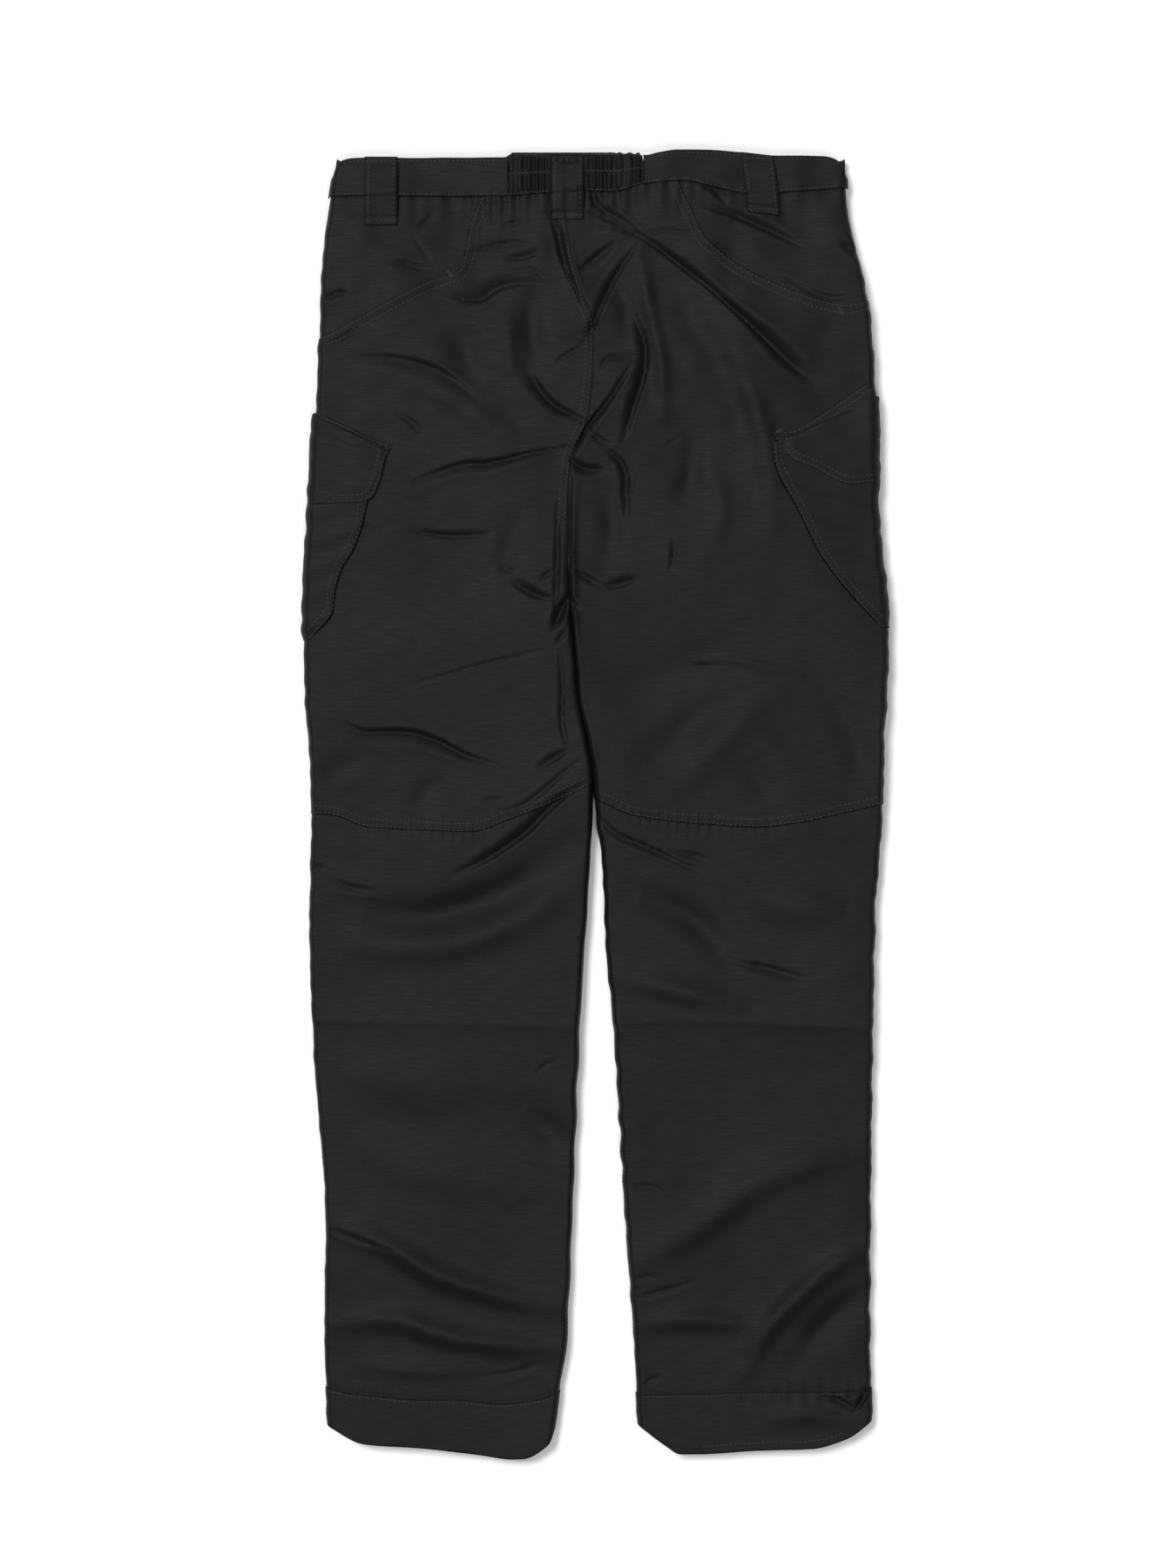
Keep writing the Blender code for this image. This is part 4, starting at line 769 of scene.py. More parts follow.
# %% [markdown]
# ## Front panels
#
# The front lies underneath and cannot be seen from above, but the part is turned over in use. It
# is the same cloth with the same outline. It rests on the table, except where the zip, the waist
# tab and the flat belt loops lie under it and hold it up.

# %% Front panels
FLY_X, FLY_BOTTOM, FLY_HALF_OPENING = -0.0140, 0.3250, 0.0075
TAB_HINGE_X, UNDERLAP_END_X, TAB_Z, UNDERLAP_Z = -0.0700, -0.0450, (0.0013, 0.0023), 0.0044
UNDER_FRONT = [(FLY_X - 0.017, FLY_X + 0.017, 0.310, 0.489, 0.0042), (-0.143, -0.109, 0.460, 0.489, TAB_Z[0]),
               (0.087, 0.123, 0.460, 0.489, TAB_Z[0])]
UNDER_WAISTBAND = [(-0.143, -0.060, 0.480, 0.530, TAB_Z[0]), (0.087, 0.123, 0.480, 0.530, TAB_Z[0]),
                   (-0.050, 0.030, 0.480, 0.530, UNDERLAP_Z)]
front_waves = slack_waves(15, 10, 0.030, 0.120, 0.45 * MM)


def held_up(things, x, y):
    height = np.zeros(np.shape(x))
    for low_x, high_x, low_y, high_y, top in things:
        away = np.hypot(np.maximum(np.maximum(low_x - x, x - high_x), 0),
                        np.maximum(np.maximum(low_y - y, y - high_y), 0))
        height = np.maximum(height, top * ease(0.025, 0, away))
    return height


def front_inner(side, y):
    middle = inner_x[side](y) + (FLY_X - inner_x[side](y)) * ease(0.220, 0.310, y)
    return middle + side * (0.0002 + FLY_HALF_OPENING * ease(FLY_BOTTOM - 0.006, FLY_BOTTOM, y))


def front_panel(name, side, ys, columns, body, nodes, things, stop=None, thick=SHELL_THICK):
    y = np.array(ys)[:, None] * np.ones(len(columns))
    inner = front_inner(side, y) if stop is None else stop
    along, drop, facing = turn_down(np.tile(columns, (len(ys), 1)), np.abs(inner - outer_x[side](y)),
                                    closing_at(y) if stop is None else None)
    x = outer_x[side](y) - side * along
    base = held_up(things, x, y)
    z = base + drop * (loft(y) / 2 - base) + (front_waves(x, y) + 0.0006) * (1 - drop) * ease(0.30, 0.20, y)
    z += 0.0014 * ease(-0.462, -0.468, y)  # inside the hem band
    return declare_sheet(cloth(name, x, y, np.maximum(z, 0.0), (side * 0.11, float(y.mean()), 0.012), body, nodes,
                               "shell_nylon", thick=thick))


def steps(start, end, step):
    return np.linspace(start, end, int(abs(end - start) / step) + 2)


for side in (LEFT, RIGHT):
    name = SIDE_NAME[side]
    ys = np.concatenate([steps(WAIST_SEAM - 0.0004, FLY_BOTTOM, 0.006)[:-1], steps(FLY_BOTTOM, 0.310, 0.003)[:-1],
                         steps(0.310, HEM_SEAM - 0.011, 0.005)])
    front_panel(f"{name}_front_leg", side, ys, across_shares(7, 40, 7), bending(side),
                [f"{name}_front_thigh_panel", f"{name}_front_calf_panel"], UNDER_FRONT)

# %% [markdown]
# ## Waistband
#
# The waistband is a folded double layer, so it is thicker and stiffer than the body. It laps over
# the top of the panels. At the centre back it is a casing gathered on elastic: the cloth is longer
# than the elastic, and the extra length stands up as small upright pleats.

# %% Waistband, casing and elastic
ELASTIC_X = (-0.0710, 0.0375)
BAND_THICK, BAND_LIFT = 0.0012, 0.0021
BAND_TOP = curve([(-0.2110, 0.5060), (-0.2085, 0.5140), (-0.2030, 0.5180), (-0.1950, 0.5195), (-0.1826, 0.5199),
                  (-0.0750, 0.5199), (-0.0659, 0.5226), (-0.0455, 0.5226), (-0.0251, 0.5208), (-0.0047, 0.5232),
                  (0.0333, 0.5232), (0.0390, 0.5217), (0.0500, 0.5240), (0.0653, 0.5262), (0.0887, 0.5262),
                  (0.1149, 0.5242), (0.1441, 0.5215), (0.1820, 0.5212), (0.1900, 0.5195), (0.1970, 0.5140),
                  (0.1995, 0.5060)])


def rolled_top(x, y):
    """The band's folded top edge rolls over."""
    return -0.0016 * np.exp(-((BAND_TOP(x) - y) / 0.0016) ** 2)


def soft_band(x, y):
    wave = np.sin(math.tau * x / 0.030 + 1.3 * np.sin(x / 0.017)) * (0.3 + 0.7 * ease(0.5, 0.525, y))
    return 0.00012 * wave + rolled_top(x, y)


for side, x_end, what in ((LEFT, ELASTIC_X[0], "left"), (RIGHT, ELASTIC_X[1], "right")):
    declare_sheet(back_panel(f"waistband_back_{what}_cloth", side, BAND_TOP, WAIST_LINE, across_shares(9, 72),
                             22, UPPER, [f"waistband_back_{what}"], BAND_LIFT, x_end, soft_band, BAND_THICK))
band_ys = np.linspace(0.5200, WAIST_SEAM + 0.0004, 8)
front_panel("waistband_front_left_cloth", LEFT, band_ys, across_shares(7, 30), UPPER, ["waistband_front_left"],
            UNDER_WAISTBAND[:2], TAB_HINGE_X - 0.0004, BAND_THICK)
front_panel("waistband_front_right_cloth", RIGHT, band_ys, across_shares(7, 50), UPPER, ["waistband_front_right"],
            UNDER_WAISTBAND[1:], UNDERLAP_END_X, BAND_THICK)

PLEATS = 17
random = np.random.default_rng(5)
pleat_at = np.cumsum(random.uniform(0.7, 1.3, PLEATS))
pleat_at = ELASTIC_X[0] + (pleat_at / pleat_at[-1]) * (ELASTIC_X[1] - ELASTIC_X[0])
pleat_phase = curve([(ELASTIC_X[0], 0.0), *((x, i + 1.0) for i, x in enumerate(pleat_at))])
xs = np.linspace(*ELASTIC_X, 260)
top, low = BAND_TOP(xs) + 0.0005 * np.sin(math.tau * pleat_phase(xs)), WAIST_LINE(xs)
down = np.linspace(0, 1, 44)[:, None]
y = top + (low - top) * down
x = np.tile(xs, (44, 1)) + 0.0008 * np.sin(y * 300 + 3 * np.sin(xs * 90))
held_down = 1 - 0.75 * np.exp(-((down - 0.47) / 0.05) ** 2) - 0.6 * np.exp(-((down - 0.95) / 0.04) ** 2)
bulge = 0.0012 * np.abs(np.sin(math.tau * down))
z = (settle(x, y, np.zeros(x.shape)) + BAND_LIFT + bulge + rolled_top(x, y)
     + 0.0014 * held_down * np.sin(math.tau * pleat_phase(x)) * (0.75 + 0.25 * np.sin(x * 210)))
z -= 0.0012 * (np.exp(-((x - ELASTIC_X[0]) / 0.0016) ** 2) + np.exp(-((x - ELASTIC_X[1]) / 0.0016) ** 2))
casing = cloth("waist_elastic_casing_cloth", x, y, z, (-0.014, 0.505, 0.0), UPPER, ["waist_elastic_casing"],
               "shell_nylon")
declare_sheet(casing)
y = np.linspace(0.519, 0.492, 12)[:, None] * np.ones(40)
x = np.tile(np.linspace(ELASTIC_X[0] + 0.001, ELASTIC_X[1] - 0.001, 40), (12, 1))
z = settle(x, y, np.zeros(x.shape)) - 0.0015
declare_sheet(cloth("waist_elastic_strip", x, y, z, (0, 0.5, -1), UPPER, ["waist_elastic"], "elastic_webbing", ELASTIC,
                    0.0010))
print(f"waistband {BAND_TOP(0.05) - WAIST_SEAM:.4f} m deep, {PLEATS} pleats")

# %% [markdown]
# ## Belt loops
#
# A belt loop is a folded strip sewn down at both ends. Between its ends it stands off the band to
# let a belt through. The two on the front are pressed flat beneath the pants.

# %% Belt loops
def back_surface(x, y):
    """Height of the outermost cloth of the back or its waistband."""
    out = np.where(y > WAIST_LINE(x), BAND_LIFT, LAP)
    return back_z(x, y) + out


def belt_loop(node, middle, top, bottom, turned=0.0, half=0.0132):
    share = np.linspace(0, 1, 46)[:, None]
    across = np.linspace(-1, 1, 17)
    length = top - bottom
    x = middle + half * across * math.cos(turned) + (0.5 - share) * length * math.sin(turned)
    y = top - share * length + half * across * math.sin(turned)
    stand = np.sin(np.clip((share - 0.12) / 0.76, 0, 1) * math.pi) ** 0.5
    edge = 1 - 0.35 * np.abs(across) ** 6
    ends = np.linspace(top - 0.004, bottom + 0.004, 9)
    level_z = float(np.mean(back_surface(np.full(9, middle), ends)))
    flat = np.minimum(back_surface(x, y), level_z + 0.003) * 0.3 + level_z * 0.7
    z = np.maximum(flat, back_surface(x, y)) + 0.0012 * edge + 0.0034 * stand
    declare_sheet(cloth(f"{node}_strap", x, y, z, (middle, float(y.mean()), -1), UPPER, [node], "shell_nylon",
                        thick=0.0008))


LOOPS = [("belt_loop_back_left", -0.1730, 0.5199, 0.4650, 0.0), ("belt_loop_back_centre", -0.0236, 0.5208, 0.4697, 0.0),
         ("belt_loop_back_right", 0.1318, 0.5224, 0.4747, -0.116)]
for loop in LOOPS:
    belt_loop(*loop)
for node, middle in (("belt_loop_front_left", -0.1250), ("belt_loop_front_right", 0.1050)):
    y = np.linspace(0.5190, 0.4670, 20)[:, None] * np.ones(9)
    x = np.tile(np.linspace(middle - 0.0132, middle + 0.0132, 9), (20, 1))
    declare_sheet(cloth(f"{node}_strap", x, y, np.zeros(x.shape), (middle, 0.49, 1), UPPER, [node], "shell_nylon",
                        thick=0.0010))

# %% [markdown]
# ## Hems, gaiters and pocket bags
#
# Each hem is the leg's end turned up and stitched, so it is a short sleeve of double cloth. The
# gaiter is a lining cuff inside it that closes over the boot, with elastic round its lower edge.

# %% Hem bands
HEM_BOTTOM = {
    LEFT: curve([(-0.2180, -0.4990), (-0.1871, -0.5143), (-0.1425, -0.5175), (-0.0948, -0.5232), (-0.0680, -0.5268),
                 (-0.0600, -0.5266), (-0.0391, -0.5152), (-0.0330, -0.4990)]),
    RIGHT: curve([(0.0310, -0.4970), (0.0547, -0.5152), (0.0675, -0.5226), (0.0800, -0.5226), (0.1279, -0.5198),
                  (0.1725, -0.5184), (0.2011, -0.5105), (0.2260, -0.4920)]),
}


def sleeve(name, side, top, bottom, columns, rows, body, nodes, slot, material, thick, inset=0.0, sink=0.0, lift=0.0,
           waves=True):
    """A tube round the leg: the back's grid, then the same places underneath."""
    x, y, drop, facing = between_seams(side, top, bottom, columns, rows)
    half = loft(y) / 2
    middle = (outer_x[side](y) + inner_x[side](y)) / 2
    narrow = 1 - (inset(y) if callable(inset) else inset) / np.abs(outer_x[side](y) - middle)
    x = middle + (x + side * facing * lift - middle) * narrow
    up = half + (half - sink) * (1 - drop) + (relief(x, y) * (1 - drop) if waves else 0) + lift * np.sqrt(1 - facing**2)
    down = half - (half - sink) * (1 - drop) + (front_waves(x, y) + 0.0006) * (1 - drop) * (1 if waves else 0)
    down = np.maximum(down - lift * np.sqrt(1 - facing**2), 0.0)
    grid = [np.hstack([a, b[:, -2:0:-1]]) for a, b in ((x, x), (y, y), (up, down))]
    girth = np.cumsum(np.hstack([np.zeros((rows, 1)), np.hypot(np.diff(grid[0]), np.diff(grid[2]))]), axis=1)
    return cloth(name, *grid, (float(middle.mean()), float(y.mean()), 0.010), body, nodes, slot, material, thick,
                 closed=True, uv=(girth, grid[1]))


for side in (LEFT, RIGHT):
    name = SIDE_NAME[side]
    hem = sleeve(f"{name}_hem_cloth", side, hem_y[side], HEM_BOTTOM[side], across_shares(9, 90, 9), 30,
                 LOWER[side], [f"{name}_hem_band"], "shell_nylon", SHELL_NYLON, 0.0011, lift=LAP)
    declare_sheet(hem)
    gather = curve([(-0.400, 0.0035), (-0.450, 0.0070), (-0.495, 0.0230)])
    declare_sheet(sleeve(f"{name}_gaiter_cuff", side, level(-0.402), level(-0.492), across_shares(6, 30, 6), 22,
                         LOWER[side], [f"{name}_boot_gaiter"], "lining_taffeta", TAFFETA, 0.0004, gather, 0.0062,
                         waves=False))
    declare_sheet(sleeve(f"{name}_gaiter_elastic_band", side, level(-0.480), level(-0.491), across_shares(6, 24, 6), 5,
                         LOWER[side], [f"{name}_gaiter_elastic"], "elastic_webbing", ELASTIC, 0.0008,
                         lambda y: gather(y) + 0.0016, 0.0070, waves=False))
    corner = MOUTH[side][3]
    share = np.linspace(0, 1, 24)
    x = np.tile(corner[0] + (outer_x[side](0.4) - side * 0.020 - corner[0]) * share, (30, 1))
    bag_top = curve(MOUTH[side])(x[0]) - 0.012
    bag_low = 0.3350 + 0.010 * np.cos(share * math.pi)
    y = bag_top + (bag_low - bag_top) * np.linspace(0, 1, 30)[:, None]
    z = settle(x, y, np.zeros(x.shape)) - 0.0016
    declare_sheet(cloth(f"{name}_pocket_bag", x, y, z, (side * 0.15, 0.38, -1), UPPER, [f"{name}_back_pocket_bag"],
                        "lining_taffeta", TAFFETA, 0.0006))

# %% [markdown]
# ## Cargo pockets and flaps
#
# Each bellows pocket sits over the side of the thigh, so from above only its rear strip shows, with
# its stitched rear edge. The flap is sewn along its top and covers the mouth. Under its lower edge
# lie a patch of hooks and, on the pocket, a patch of loops.

# %% Cargo pockets
POCKET_REAR = {
    LEFT: [(0.2860, -0.1672), (0.2574, -0.1768), (0.2451, -0.1826), (0.2247, -0.1870), (0.2043, -0.1943),
           (0.1897, -0.2030), (0.1722, -0.2088), (0.1533, -0.2117), (0.1320, -0.2300)],
    RIGHT: [(0.2894, 0.1400), (0.2685, 0.1435), (0.2364, 0.1605), (0.2014, 0.1780), (0.1810, 0.1925),
            (0.1605, 0.2100), (0.1420, 0.2280)],
}
FLAP_TOP = {LEFT: [(-0.1650, 0.2880), (-0.1785, 0.2930), (-0.2000, 0.3030), (-0.2250, 0.3150)],
            RIGHT: [(0.1405, 0.2990), (0.1616, 0.3020), (0.1900, 0.3200), (0.2205, 0.3410)]}
# A point on each flap's hinge line, and the way the line runs.
FLAP_HINGE = {LEFT: ((-0.1655, 0.2910), (-0.9038, 0.4279)), RIGHT: ((0.1440, 0.3000), (-0.8770, -0.4805))}
FLAP_LOW = {LEFT: [(-0.1680, 0.2810), (-0.1745, 0.2580), (-0.1830, 0.2440), (-0.2060, 0.2410), (-0.2270, 0.2410)],
            RIGHT: [(0.1500, 0.2830), (0.1580, 0.2760), (0.1730, 0.2700), (0.1995, 0.2570), (0.2260, 0.2590)]}


def over_side(side, y, inward, height):
    """A place over the cloth, a distance in from the fold along it. Below 0 it is round underneath."""
    turn = np.clip(np.abs(inward) / EDGE_ARC, 0, 1) * math.pi / 2
    x = outer_x[side](y) - side * (EDGE_ROUND * (1 - np.cos(turn)) + np.maximum(np.abs(inward) - EDGE_ARC, 0))
    above = settle(x, y, 1 - np.sin(turn))
    below = loft(y) / 2 * (1 - np.sin(turn))
    facing_out = np.where(np.abs(inward) < EDGE_ARC, np.cos(turn), 0.0)
    return (x + side * facing_out * height, y,
            np.where(inward >= 0, above, below) + np.sign(inward) * np.sin(turn) * height)


def inward_of(side, x, y):
    return np.abs(x - outer_x[side](y)) - EDGE_ROUND + EDGE_ARC


for side in (LEFT, RIGHT):
    name = SIDE_NAME[side]
    rear = curve(POCKET_REAR[side])
    share = np.linspace(0, 1, 78)[:, None]
    u = np.linspace(0, 1, 52)
    high, low = POCKET_REAR[side][0][0], POCKET_REAR[side][-1][0]
    y_rear = high + (low - high) * share
    start = inward_of(side, rear(y_rear), y_rear)
    front = -0.55 * EDGE_ARC
    inward = start + (front - start) * u
    y = y_rear + 0.42 * (start - inward) * (1 - share) + 0.0 * u

    def face_height(from_rear, from_front, from_low):
        rim = 0.0008
        return rim + 0.0022 * ease(0.0, 0.0016, from_rear) * ease(0.0, 0.012, from_front) * ease(0.0, 0.012, from_low)

    height = LAP + face_height(start - inward, inward - front, (1 - share) * (high - low) + 0 * u)
    height += 0.0004 * np.sin(y * 260 + 5 * u)
    x, y, z = over_side(side, y, inward, height)
    declare_sheet(cloth(f"{name}_cargo_pocket_face", x, y, z, (side * 0.15, 0.22, 0.010), UPPER,
                        [f"{name}_cargo_pocket"], "shell_nylon", uv=(side * inward, y)))

# %% Flaps and their patches
FLAP_LIFT = 0.0048


def flap_grid(side, rows, columns, height):
    """Places on a flap: rows from its sewn top to its lower edge, columns from the rear to the side."""
    top, low = rounded_path(FLAP_TOP[side], 12), rounded_path(FLAP_LOW[side], 12)
    u = np.linspace(0, 1, columns)
    spots = []
    for line in (top, low):
        run = np.concatenate([[0], np.cumsum(np.hypot(*np.diff(line, axis=0).T))])
        spots.append([np.interp(u * run[-1], run, line[:, i]) for i in (0, 1)])
    (top_x, top_y), (low_x, low_y) = spots
    v = np.linspace(0, 1, rows)[:, None]
    x, y = top_x + (low_x - top_x) * v, top_y + (low_y - top_y) * v
    beyond = np.maximum(np.abs(x) - (np.abs(outer_x[side](y)) - EDGE_ROUND), 0) / EDGE_ROUND
    inward = np.where(beyond > 0, EDGE_ARC * (1 - np.clip(beyond, 0, 1.15)), inward_of(side, x, y))
    return over_side(side, y, inward, height(u, v)), inward


def flap_height(u, v):
    sewn = LAP + 0.0010
    raised = ease(0.03, 0.30, v) * (0.45 + 0.55 * ease(0.0, 0.16, u))
    return sewn + (FLAP_LIFT - sewn) * raised - 0.0006 * ease(0.8, 1.0, v)


def patch(name, side, height, body, node):
    grid, inward = flap_grid(side, 14, 20, lambda u, v: height + 0 * u * v)
    keep_u, keep_v = slice(6, 15), slice(5, 12)
    x, y, z = (part[keep_v, keep_u] for part in grid)
    declare_sheet(cloth(name, x, y, z, (side * 0.15, 0.26, -1), body, [node], "hook_and_loop", PILE, 0.0005))


for side in (LEFT, RIGHT):
    name = SIDE_NAME[side]
    (x, y, z), inward = flap_grid(side, 44, 58, flap_height)
    declare_sheet(cloth(f"{name}_flap_cloth", x, y, z, (side * 0.15, 0.27, 0.004), FLAP_BODY[side],
                        [f"{name}_cargo_flap"], "shell_nylon", thick=0.0009, uv=(side * inward, y)))
    patch(f"{name}_hook_patch", side, 0.0043, FLAP_BODY[side], f"{name}_flap_hook_tape")
    patch(f"{name}_loop_patch", side, 0.0037, UPPER, f"{name}_pocket_loop_tape")

# %% [markdown]
# ## Fly, zip and waist tab
#
# These are on the front, which lies underneath. The zip is two woven tapes, each with a row of
# moulded nylon coil. Its slider and pull are die-cast and the snap is pressed brass, so they keep
# the frame's own shapes and only take a better finish.

# %% Zip tapes, guard and tab
for side in (LEFT, RIGHT):
    name = SIDE_NAME[side]
    y = np.linspace(0.4850, 0.3180, 60)[:, None] * np.ones(8)
    x = np.tile(FLY_X + side * np.linspace(0.0029, 0.0150, 8), (60, 1))
    declare_sheet(cloth(f"zip_tape_{name}_ribbon", x, y, np.full(x.shape, 0.00585), (FLY_X, 0.4, 1), UPPER,
                        [f"zip_tape_{name}"], "zip_tape", ZIP_TAPE, 0.0005))

section = curve([(0.0140, 0.0095), (0.0, 0.0095), (-0.0140, 0.0095), (-0.0170, 0.0072), (-0.0195, 0.0064),
                 (-0.0240, 0.0061)])
dx = np.linspace(0.0140, -0.0240, 28)
y = np.linspace(0.4870, 0.3220, 50)[:, None] * np.ones(28)
x = np.tile(FLY_X + dx, (50, 1))
declare_sheet(cloth("fly_guard_cloth", x, y, np.tile(section(dx), (50, 1)), (FLY_X, 0.4, 1), UPPER, ["fly_guard"],
                    "lining_taffeta", TAFFETA, 0.0005))

TAB_LOW, TAB_HIGH, TAB_NEAR, TAB_FAR, TAB_CORNER = WAIST_SEAM + 0.0004, 0.5270, -0.0690, 0.0210, 0.008
xs = np.concatenate([np.linspace(TAB_NEAR, TAB_FAR - TAB_CORNER, 34, endpoint=False),
                     TAB_FAR - TAB_CORNER + TAB_CORNER * np.sin(np.linspace(0, 1, 12) * math.pi / 2)])
cut = TAB_CORNER - np.sqrt(np.maximum(TAB_CORNER**2 - np.maximum(xs - TAB_FAR + TAB_CORNER, 0) ** 2, 0))
y = (TAB_HIGH - cut) + (TAB_LOW + cut - TAB_HIGH + cut) * np.linspace(0, 1, 18)[:, None]
x = np.tile(xs, (18, 1))
declare_sheet(cloth("waist_tab_cloth", x, y, np.full(x.shape, TAB_Z[0]), (-0.03, 0.508, 1), "tab", ["waist_tab"],
                    "shell_nylon", thick=0.0010))

for node, metal in (("zip_slider", ZINC), ("zip_pull", ZINC), ("snap_cap", BRASS), ("snap_socket", BRASS),
                    ("snap_stud", BRASS), ("snap_back_plate", BRASS)):
    for material_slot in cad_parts[node].material_slots:
        material_slot.material = metal

# %% [markdown]
# ## Stitches
#
# Every seam is sewn with a row or two of lockstitch. On the real pants a stitch is about 3.6 mm of
# thread lying on the cloth before it dives back in. Rather than draw thousands by hand, the seam
# lines become curves, and Geometry Nodes lays one small capsule on each step along them.

# %% Repeat a small capsule along lines
def repeat_tree(name, material):
    """Nodes that lay a capsule at every step along the mesh's edges, pointing along them."""
    tree = bpy.data.node_groups.new(name, "GeometryNodeTree")
    for label, kind in (("Geometry", "Geometry"), ("Step", "Float"), ("Length", "Float"), ("Width", "Float"),
                        ("Height", "Float")):
        tree.interface.new_socket(name=label, in_out="INPUT", socket_type=f"NodeSocket{kind}")
    tree.interface.new_socket(name="Geometry", in_out="OUTPUT", socket_type="NodeSocketGeometry")
    given = add(tree, "NodeGroupInput").outputs
    lines = add(tree, "GeometryNodeMeshToCurve", {"Mesh": given["Geometry"]})
    spaced = add(tree, "GeometryNodeResampleCurve", {"Curve": lines.outputs[0], "Length": given["Step"]}, mode="LENGTH")
    ball = add(tree, "GeometryNodeMeshUVSphere", Segments=8, Rings=5, Radius=0.5)
    size = add(tree, "ShaderNodeCombineXYZ", {"X": given["Length"], "Y": given["Width"], "Z": given["Height"]})
    capsule = add(tree, "GeometryNodeTransform", {"Geometry": ball.outputs["Mesh"], "Scale": size.outputs[0]})
    tangent = add(tree, "GeometryNodeInputTangent")
    turn = add(tree, "FunctionNodeAlignRotationToVector", {"Vector": tangent.outputs[0]}, axis="X")
    laid = add(tree, "GeometryNodeInstanceOnPoints", {"Points": spaced.outputs[0], "Instance": capsule.outputs[0],
                                                      "Rotation": turn.outputs[0]})
    solid = add(tree, "GeometryNodeRealizeInstances", {"Geometry": laid.outputs[0]})
    coloured = add(tree, "GeometryNodeSetMaterial", {"Geometry": solid.outputs[0]}, Material=material)
    add(tree, "NodeGroupOutput", {"Geometry": coloured.outputs[0]})
    return tree


def repeated(name, lines, tree, step, length, width, height, body):
    """A mesh of capsules along 3-D lines, made by the nodes and then made plain."""
    points, edges = [], []
    for line in lines:
        edges += [(len(points) + i, len(points) + i + 1) for i in range(len(line) - 1)]
        points += [tuple(p) for p in line]
    guide = bpy.data.objects.new(f"{name}_guide", bpy.data.meshes.new(f"{name}_guide"))
    guide.data.from_pydata(points, edges, [])
    bpy.context.scene.collection.objects.link(guide)
    nodes = guide.modifiers.new("repeat", "NODES")
    nodes.node_group = tree
    for label, value in (("Step", step), ("Length", length), ("Width", width), ("Height", height)):
        socket = next(s for s in tree.interface.items_tree if s.name == label)
        nodes[socket.identifier] = value
    bpy.context.view_layer.update()
    mesh = bpy.data.meshes.new_from_object(guide.evaluated_get(bpy.context.evaluated_depsgraph_get()))
    bpy.data.objects.remove(guide)
    mesh.name = name
    mesh.shade_smooth()
    piece = bpy.data.objects.new(name, mesh)
    bpy.context.scene.collection.objects.link(piece)
    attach(piece, body)
    return piece


STITCH_TREE = repeat_tree("stitches", THREAD)
COIL_TREE = repeat_tree("coil", COIL)


def beside(line, shift):
    """A flat line moved sideways: to its left for a positive shift."""
    line = np.asarray(line, float)
    along = np.gradient(line, axis=0)
    along /= np.linalg.norm(along, axis=1)[:, None] + 1e-12
    return line + shift * np.stack([-along[:, 1], along[:, 0]], 1)


def dense(line, step=0.0012):
    line = np.asarray(line, float)
    run = np.concatenate([[0], np.cumsum(np.hypot(*np.diff(line, axis=0).T))])
    at = np.linspace(0, run[-1], max(int(run[-1] / step), 2))
    return np.stack([np.interp(at, run, line[:, 0]), np.interp(at, run, line[:, 1])], 1)


def laid_on(surface, line, out):
    line = dense(line)
    return np.column_stack([line, surface(line[:, 0], line[:, 1]) + out])


def bartack(surface, start, end, out, turns=9, half=0.0011):
    """A dense zigzag bar that locks a corner."""
    start, end = np.array(start, float), np.array(end, float)
    along = end - start
    sideways = np.array([-along[1], along[0]]) / np.hypot(*along)
    flat = [start + along * i / (2 * turns) + sideways * half * (1 if i % 2 else -1) for i in range(2 * turns + 1)]
    return np.column_stack([flat, surface(np.array(flat)[:, 0], np.array(flat)[:, 1]) + out])


# %% Stitches of the seams
SINK = 0.00008  # a stitch lies a little in the cloth
upper_lines = []


def inside_outline(line, margin=0.0035):
    """The part of a line that is on the flat of the garment."""
    x, y = np.asarray(line).T
    keep = (x > outer_x[LEFT](y) + margin) & (x < outer_x[RIGHT](y) - margin)
    return np.asarray(line)[keep]


def on_back(x, y):
    return back_z(x, y) + LAP


def on_mouth(side):
    stand = slack_mouth(side)
    return lambda x, y: on_back(x, y) + stand(x, y)


for side in (LEFT, RIGHT):
    knee = inside_outline(dense(KNEE_LINE[side]))
    knee = knee[side * (knee[:, 0] - inner_x[side](knee[:, 1])) > 0.005]
    for shift in (0.0016, 0.0068):
        upper_lines.append(laid_on(on_back, beside(knee, shift), SINK))
    mouth = inside_outline(dense(rounded_path(MOUTH[side])))
    mouth = mouth[mouth[:, 1] < WAIST_LINE(mouth[:, 0]) - 0.001]
    for shift in (0.0014, 0.0070):
        upper_lines.append(laid_on(on_mouth(side), beside(mouth, side * -shift), SINK))
seam = inside_outline(CENTRE_LINE)
seam = seam[(seam[:, 1] < WAIST_SEAM - 0.001) & (seam[:, 1] > 0.225)]
for shift in (-0.0016, -0.0066):
    upper_lines.append(laid_on(on_back, beside(seam, shift), SINK))


def on_band(x, y):
    return back_z(x, y) + BAND_LIFT + soft_band(x, y)


for low_x, high_x in ((-0.2020, ELASTIC_X[0] - 0.001), (ELASTIC_X[1] + 0.001, 0.1925)):
    xs = np.linspace(low_x, high_x, 60)
    upper_lines.append(laid_on(on_band, np.stack([xs, WAIST_LINE(xs) + 0.0017], 1), SINK))
    upper_lines.append(laid_on(on_band, np.stack([xs, BAND_TOP(xs) - 0.0030], 1), SINK))
print(f"{len(upper_lines)} rows of stitches so far")

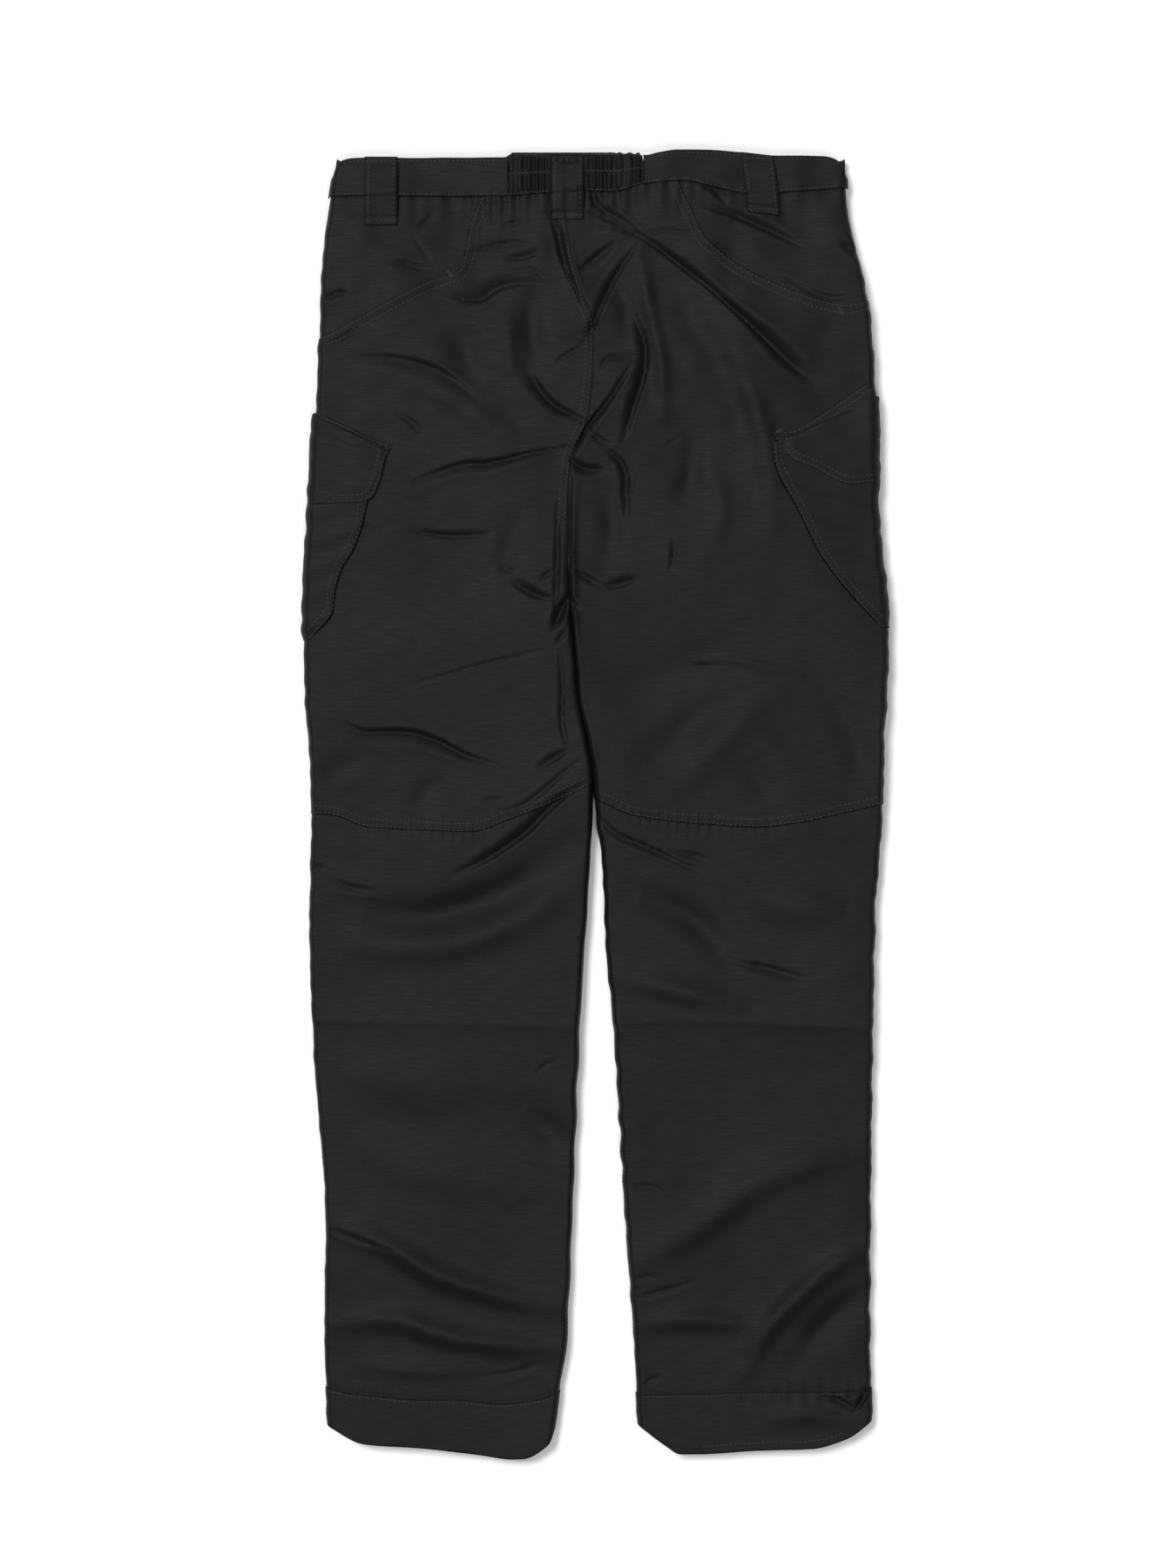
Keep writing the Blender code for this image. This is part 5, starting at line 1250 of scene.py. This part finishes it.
# %% Stitches of the casing, loops and pockets
def drop_onto(piece, line, out):
    """Lays a flat line on top of a piece, by casting down on to it."""
    line = dense(line)
    laid = []
    for x, y in line:
        hit, place, _, _ = piece.ray_cast(Vector((x, y, 0.2)), Vector((0, 0, -1)))
        if hit:
            laid.append((x, y, place.z + out))
    return np.array(laid)


def piece_named(name):
    return bpy.data.objects[name]


def clear_of_hinge(side, line):
    """The part of a row of stitches that lies on the swinging side of the flap's hinge."""
    (x, y), (run, rise) = FLAP_HINGE[side]
    return line[(line[:, 0] - x) * rise - (line[:, 1] - y) * run < -0.0032]


xs = np.linspace(ELASTIC_X[0] + 0.001, ELASTIC_X[1] - 0.001, 80)
for down in (0.95, 0.47):
    row = BAND_TOP(xs) + (WAIST_LINE(xs) - BAND_TOP(xs)) * down
    upper_lines.append(drop_onto(casing, np.stack([xs, row], 1), SINK))
for node, middle, top, bottom, turned in LOOPS:
    strap = piece_named(f"{node}_strap")
    for across in (-0.0100, 0.0100):
        ends = [(middle + across + k * (top - bottom) / 2 * math.sin(turned), (top + bottom) / 2 + k * (top - bottom) / 2.2)
                for k in (1, -1)]
        upper_lines.append(drop_onto(strap, ends, SINK))
    for y_bar in (top - 0.0035, bottom + 0.0035):
        shift = (y_bar - (top + bottom) / 2) * math.sin(turned)
        upper_lines.append(drop_onto(strap, [(middle - 0.0115 + shift, y_bar), (middle + 0.0115 + shift, y_bar)], SINK))
for side in (LEFT, RIGHT):
    name = SIDE_NAME[side]
    face = piece_named(f"{name}_cargo_pocket_face")
    edge = dense(rounded_path([(x, y) for y, x in POCKET_REAR[side]]))
    for shift in (0.0016, 0.0066):
        row = inside_outline(beside(edge, side * shift), 0.004)
        upper_lines.append(drop_onto(face, row, SINK))
upper_lines = [line for line in upper_lines if len(line) > 2]
repeated("upper_stitches", upper_lines, STITCH_TREE, 0.0036, 0.0031, 0.00062, 0.00045, UPPER)

for side in (LEFT, RIGHT):
    name = SIDE_NAME[side]
    flap = piece_named(f"{name}_flap_cloth")
    rows = []
    top, low = rounded_path(FLAP_TOP[side], 12), rounded_path(FLAP_LOW[side], 12)
    for line, shifts in ((top, (0.0016, 0.0066)), (low, (0.0016, 0.0064))):
        for shift in shifts:
            down = -side * shift if line is top else side * shift
            rows.append(drop_onto(flap, clear_of_hinge(side, inside_outline(beside(dense(line), down), 0.003)), SINK))
    rows = [row for row in rows if len(row) > 2]
    repeated(f"{name}_flap_stitches", rows, STITCH_TREE, 0.0036, 0.0031, 0.00062, 0.00045, FLAP_BODY[side])
    hem = piece_named(f"{name}_hem_cloth")
    xs = np.linspace(outer_x[side](HEM_SEAM) - side * 0.006, inner_x[side](HEM_SEAM) + side * 0.006, 90)
    rows = [drop_onto(hem, np.stack([xs, hem_y[side](xs) - 0.0020], 1), SINK)]
    if side == RIGHT:
        xs = np.linspace(0.086, 0.196, 60)
        rows.append(drop_onto(hem, np.stack([xs, HEM_BOTTOM[side](xs) + 0.0065], 1), SINK))
    repeated(f"{name}_hem_stitches", rows, STITCH_TREE, 0.0036, 0.0031, 0.00062, 0.00045, LOWER[side])

# %% Bartacks and the zip's coils
tacks = [bartack(on_mouth(RIGHT), (0.1935, 0.3990), (0.1975, 0.3930), SINK),
         bartack(on_mouth(LEFT), (-0.1200, 0.4290), (-0.1155, 0.4230), SINK),
         bartack(on_back, (-0.1790, 0.2912), (-0.1655, 0.2862), 0.0018),
         bartack(on_back, (0.1440, 0.2986), (0.1490, 0.3006), 0.0018)]
repeated("bartacks", tacks, STITCH_TREE, 0.0006, 0.0010, 0.00034, 0.00030, UPPER)
for side in (LEFT, RIGHT):
    # A size 5 coil turns about every 1.4 mm.
    line = [(FLY_X + side * 0.00205, y, 0.0061) for y in np.linspace(0.3280, 0.4800, 60)]
    repeated(f"zip_coil_{SIDE_NAME[side]}", [line], COIL_TREE, 0.0014, 0.0009, 0.0025, 0.0019, UPPER)

# %% [markdown]
# ## Table and light
#
# The pants lie on a plain pale table. A large soft light high on the left gives most of the light.
# A weaker one from beyond the waist rakes down the legs and shows the creases, a small one fills
# the lower legs, and a pale surround fills the shadows.

# %% Table and light
TABLE_LEVEL = -0.0006


def stage_plane(size, colour):
    mesh = bpy.data.meshes.new("table")
    corners = [(x * size, y * size, TABLE_LEVEL) for x, y in ((-1, -1), (1, -1), (1, 1), (-1, 1))]
    mesh.from_pydata(corners, [], [(0, 1, 2, 3)])
    table = bpy.data.objects.new("table", mesh)
    bpy.context.scene.collection.objects.link(table)
    mesh.materials.append(new_material("painted_board_white", colour, 0.9, 0.1)[0])


def soft_light(name, place, aim, size, power, colour=(1.0, 1.0, 1.0)):
    data = bpy.data.lights.new(name, "AREA")
    data.shape, data.size, data.energy, data.color = "DISK", size, power, colour
    light = bpy.data.objects.new(name, data)
    light.location = place
    light.rotation_euler = (Vector(aim) - Vector(place)).to_track_quat("-Z", "Y").to_euler()
    bpy.context.scene.collection.objects.link(light)


stage_plane(30.0, "#f7f7f7")
soft_light("key", (-2.4, 2.1, 7.4), (0.0, 0.0, 0.0), 2.4, 440.0)
soft_light("rake", (-1.2, 6.5, 4.2), (0.0, 0.0, 0.0), 2.2, 120.0)
soft_light("low_fill", (0.3, -1.0, 3.2), (0.0, -0.5, 0.0), 1.2, 34.0)
world = bpy.data.worlds.new("pale_room")
bpy.context.scene.world = world
world.use_nodes = True
world.node_tree.nodes["Background"].inputs["Color"].default_value = (1.0, 1.0, 1.0, 1.0)
world.node_tree.nodes["Background"].inputs["Strength"].default_value = 0.25
# Plain sRGB tones, so that a black cloth and a white table keep their own values.
bpy.context.scene.view_settings.view_transform = "Standard"
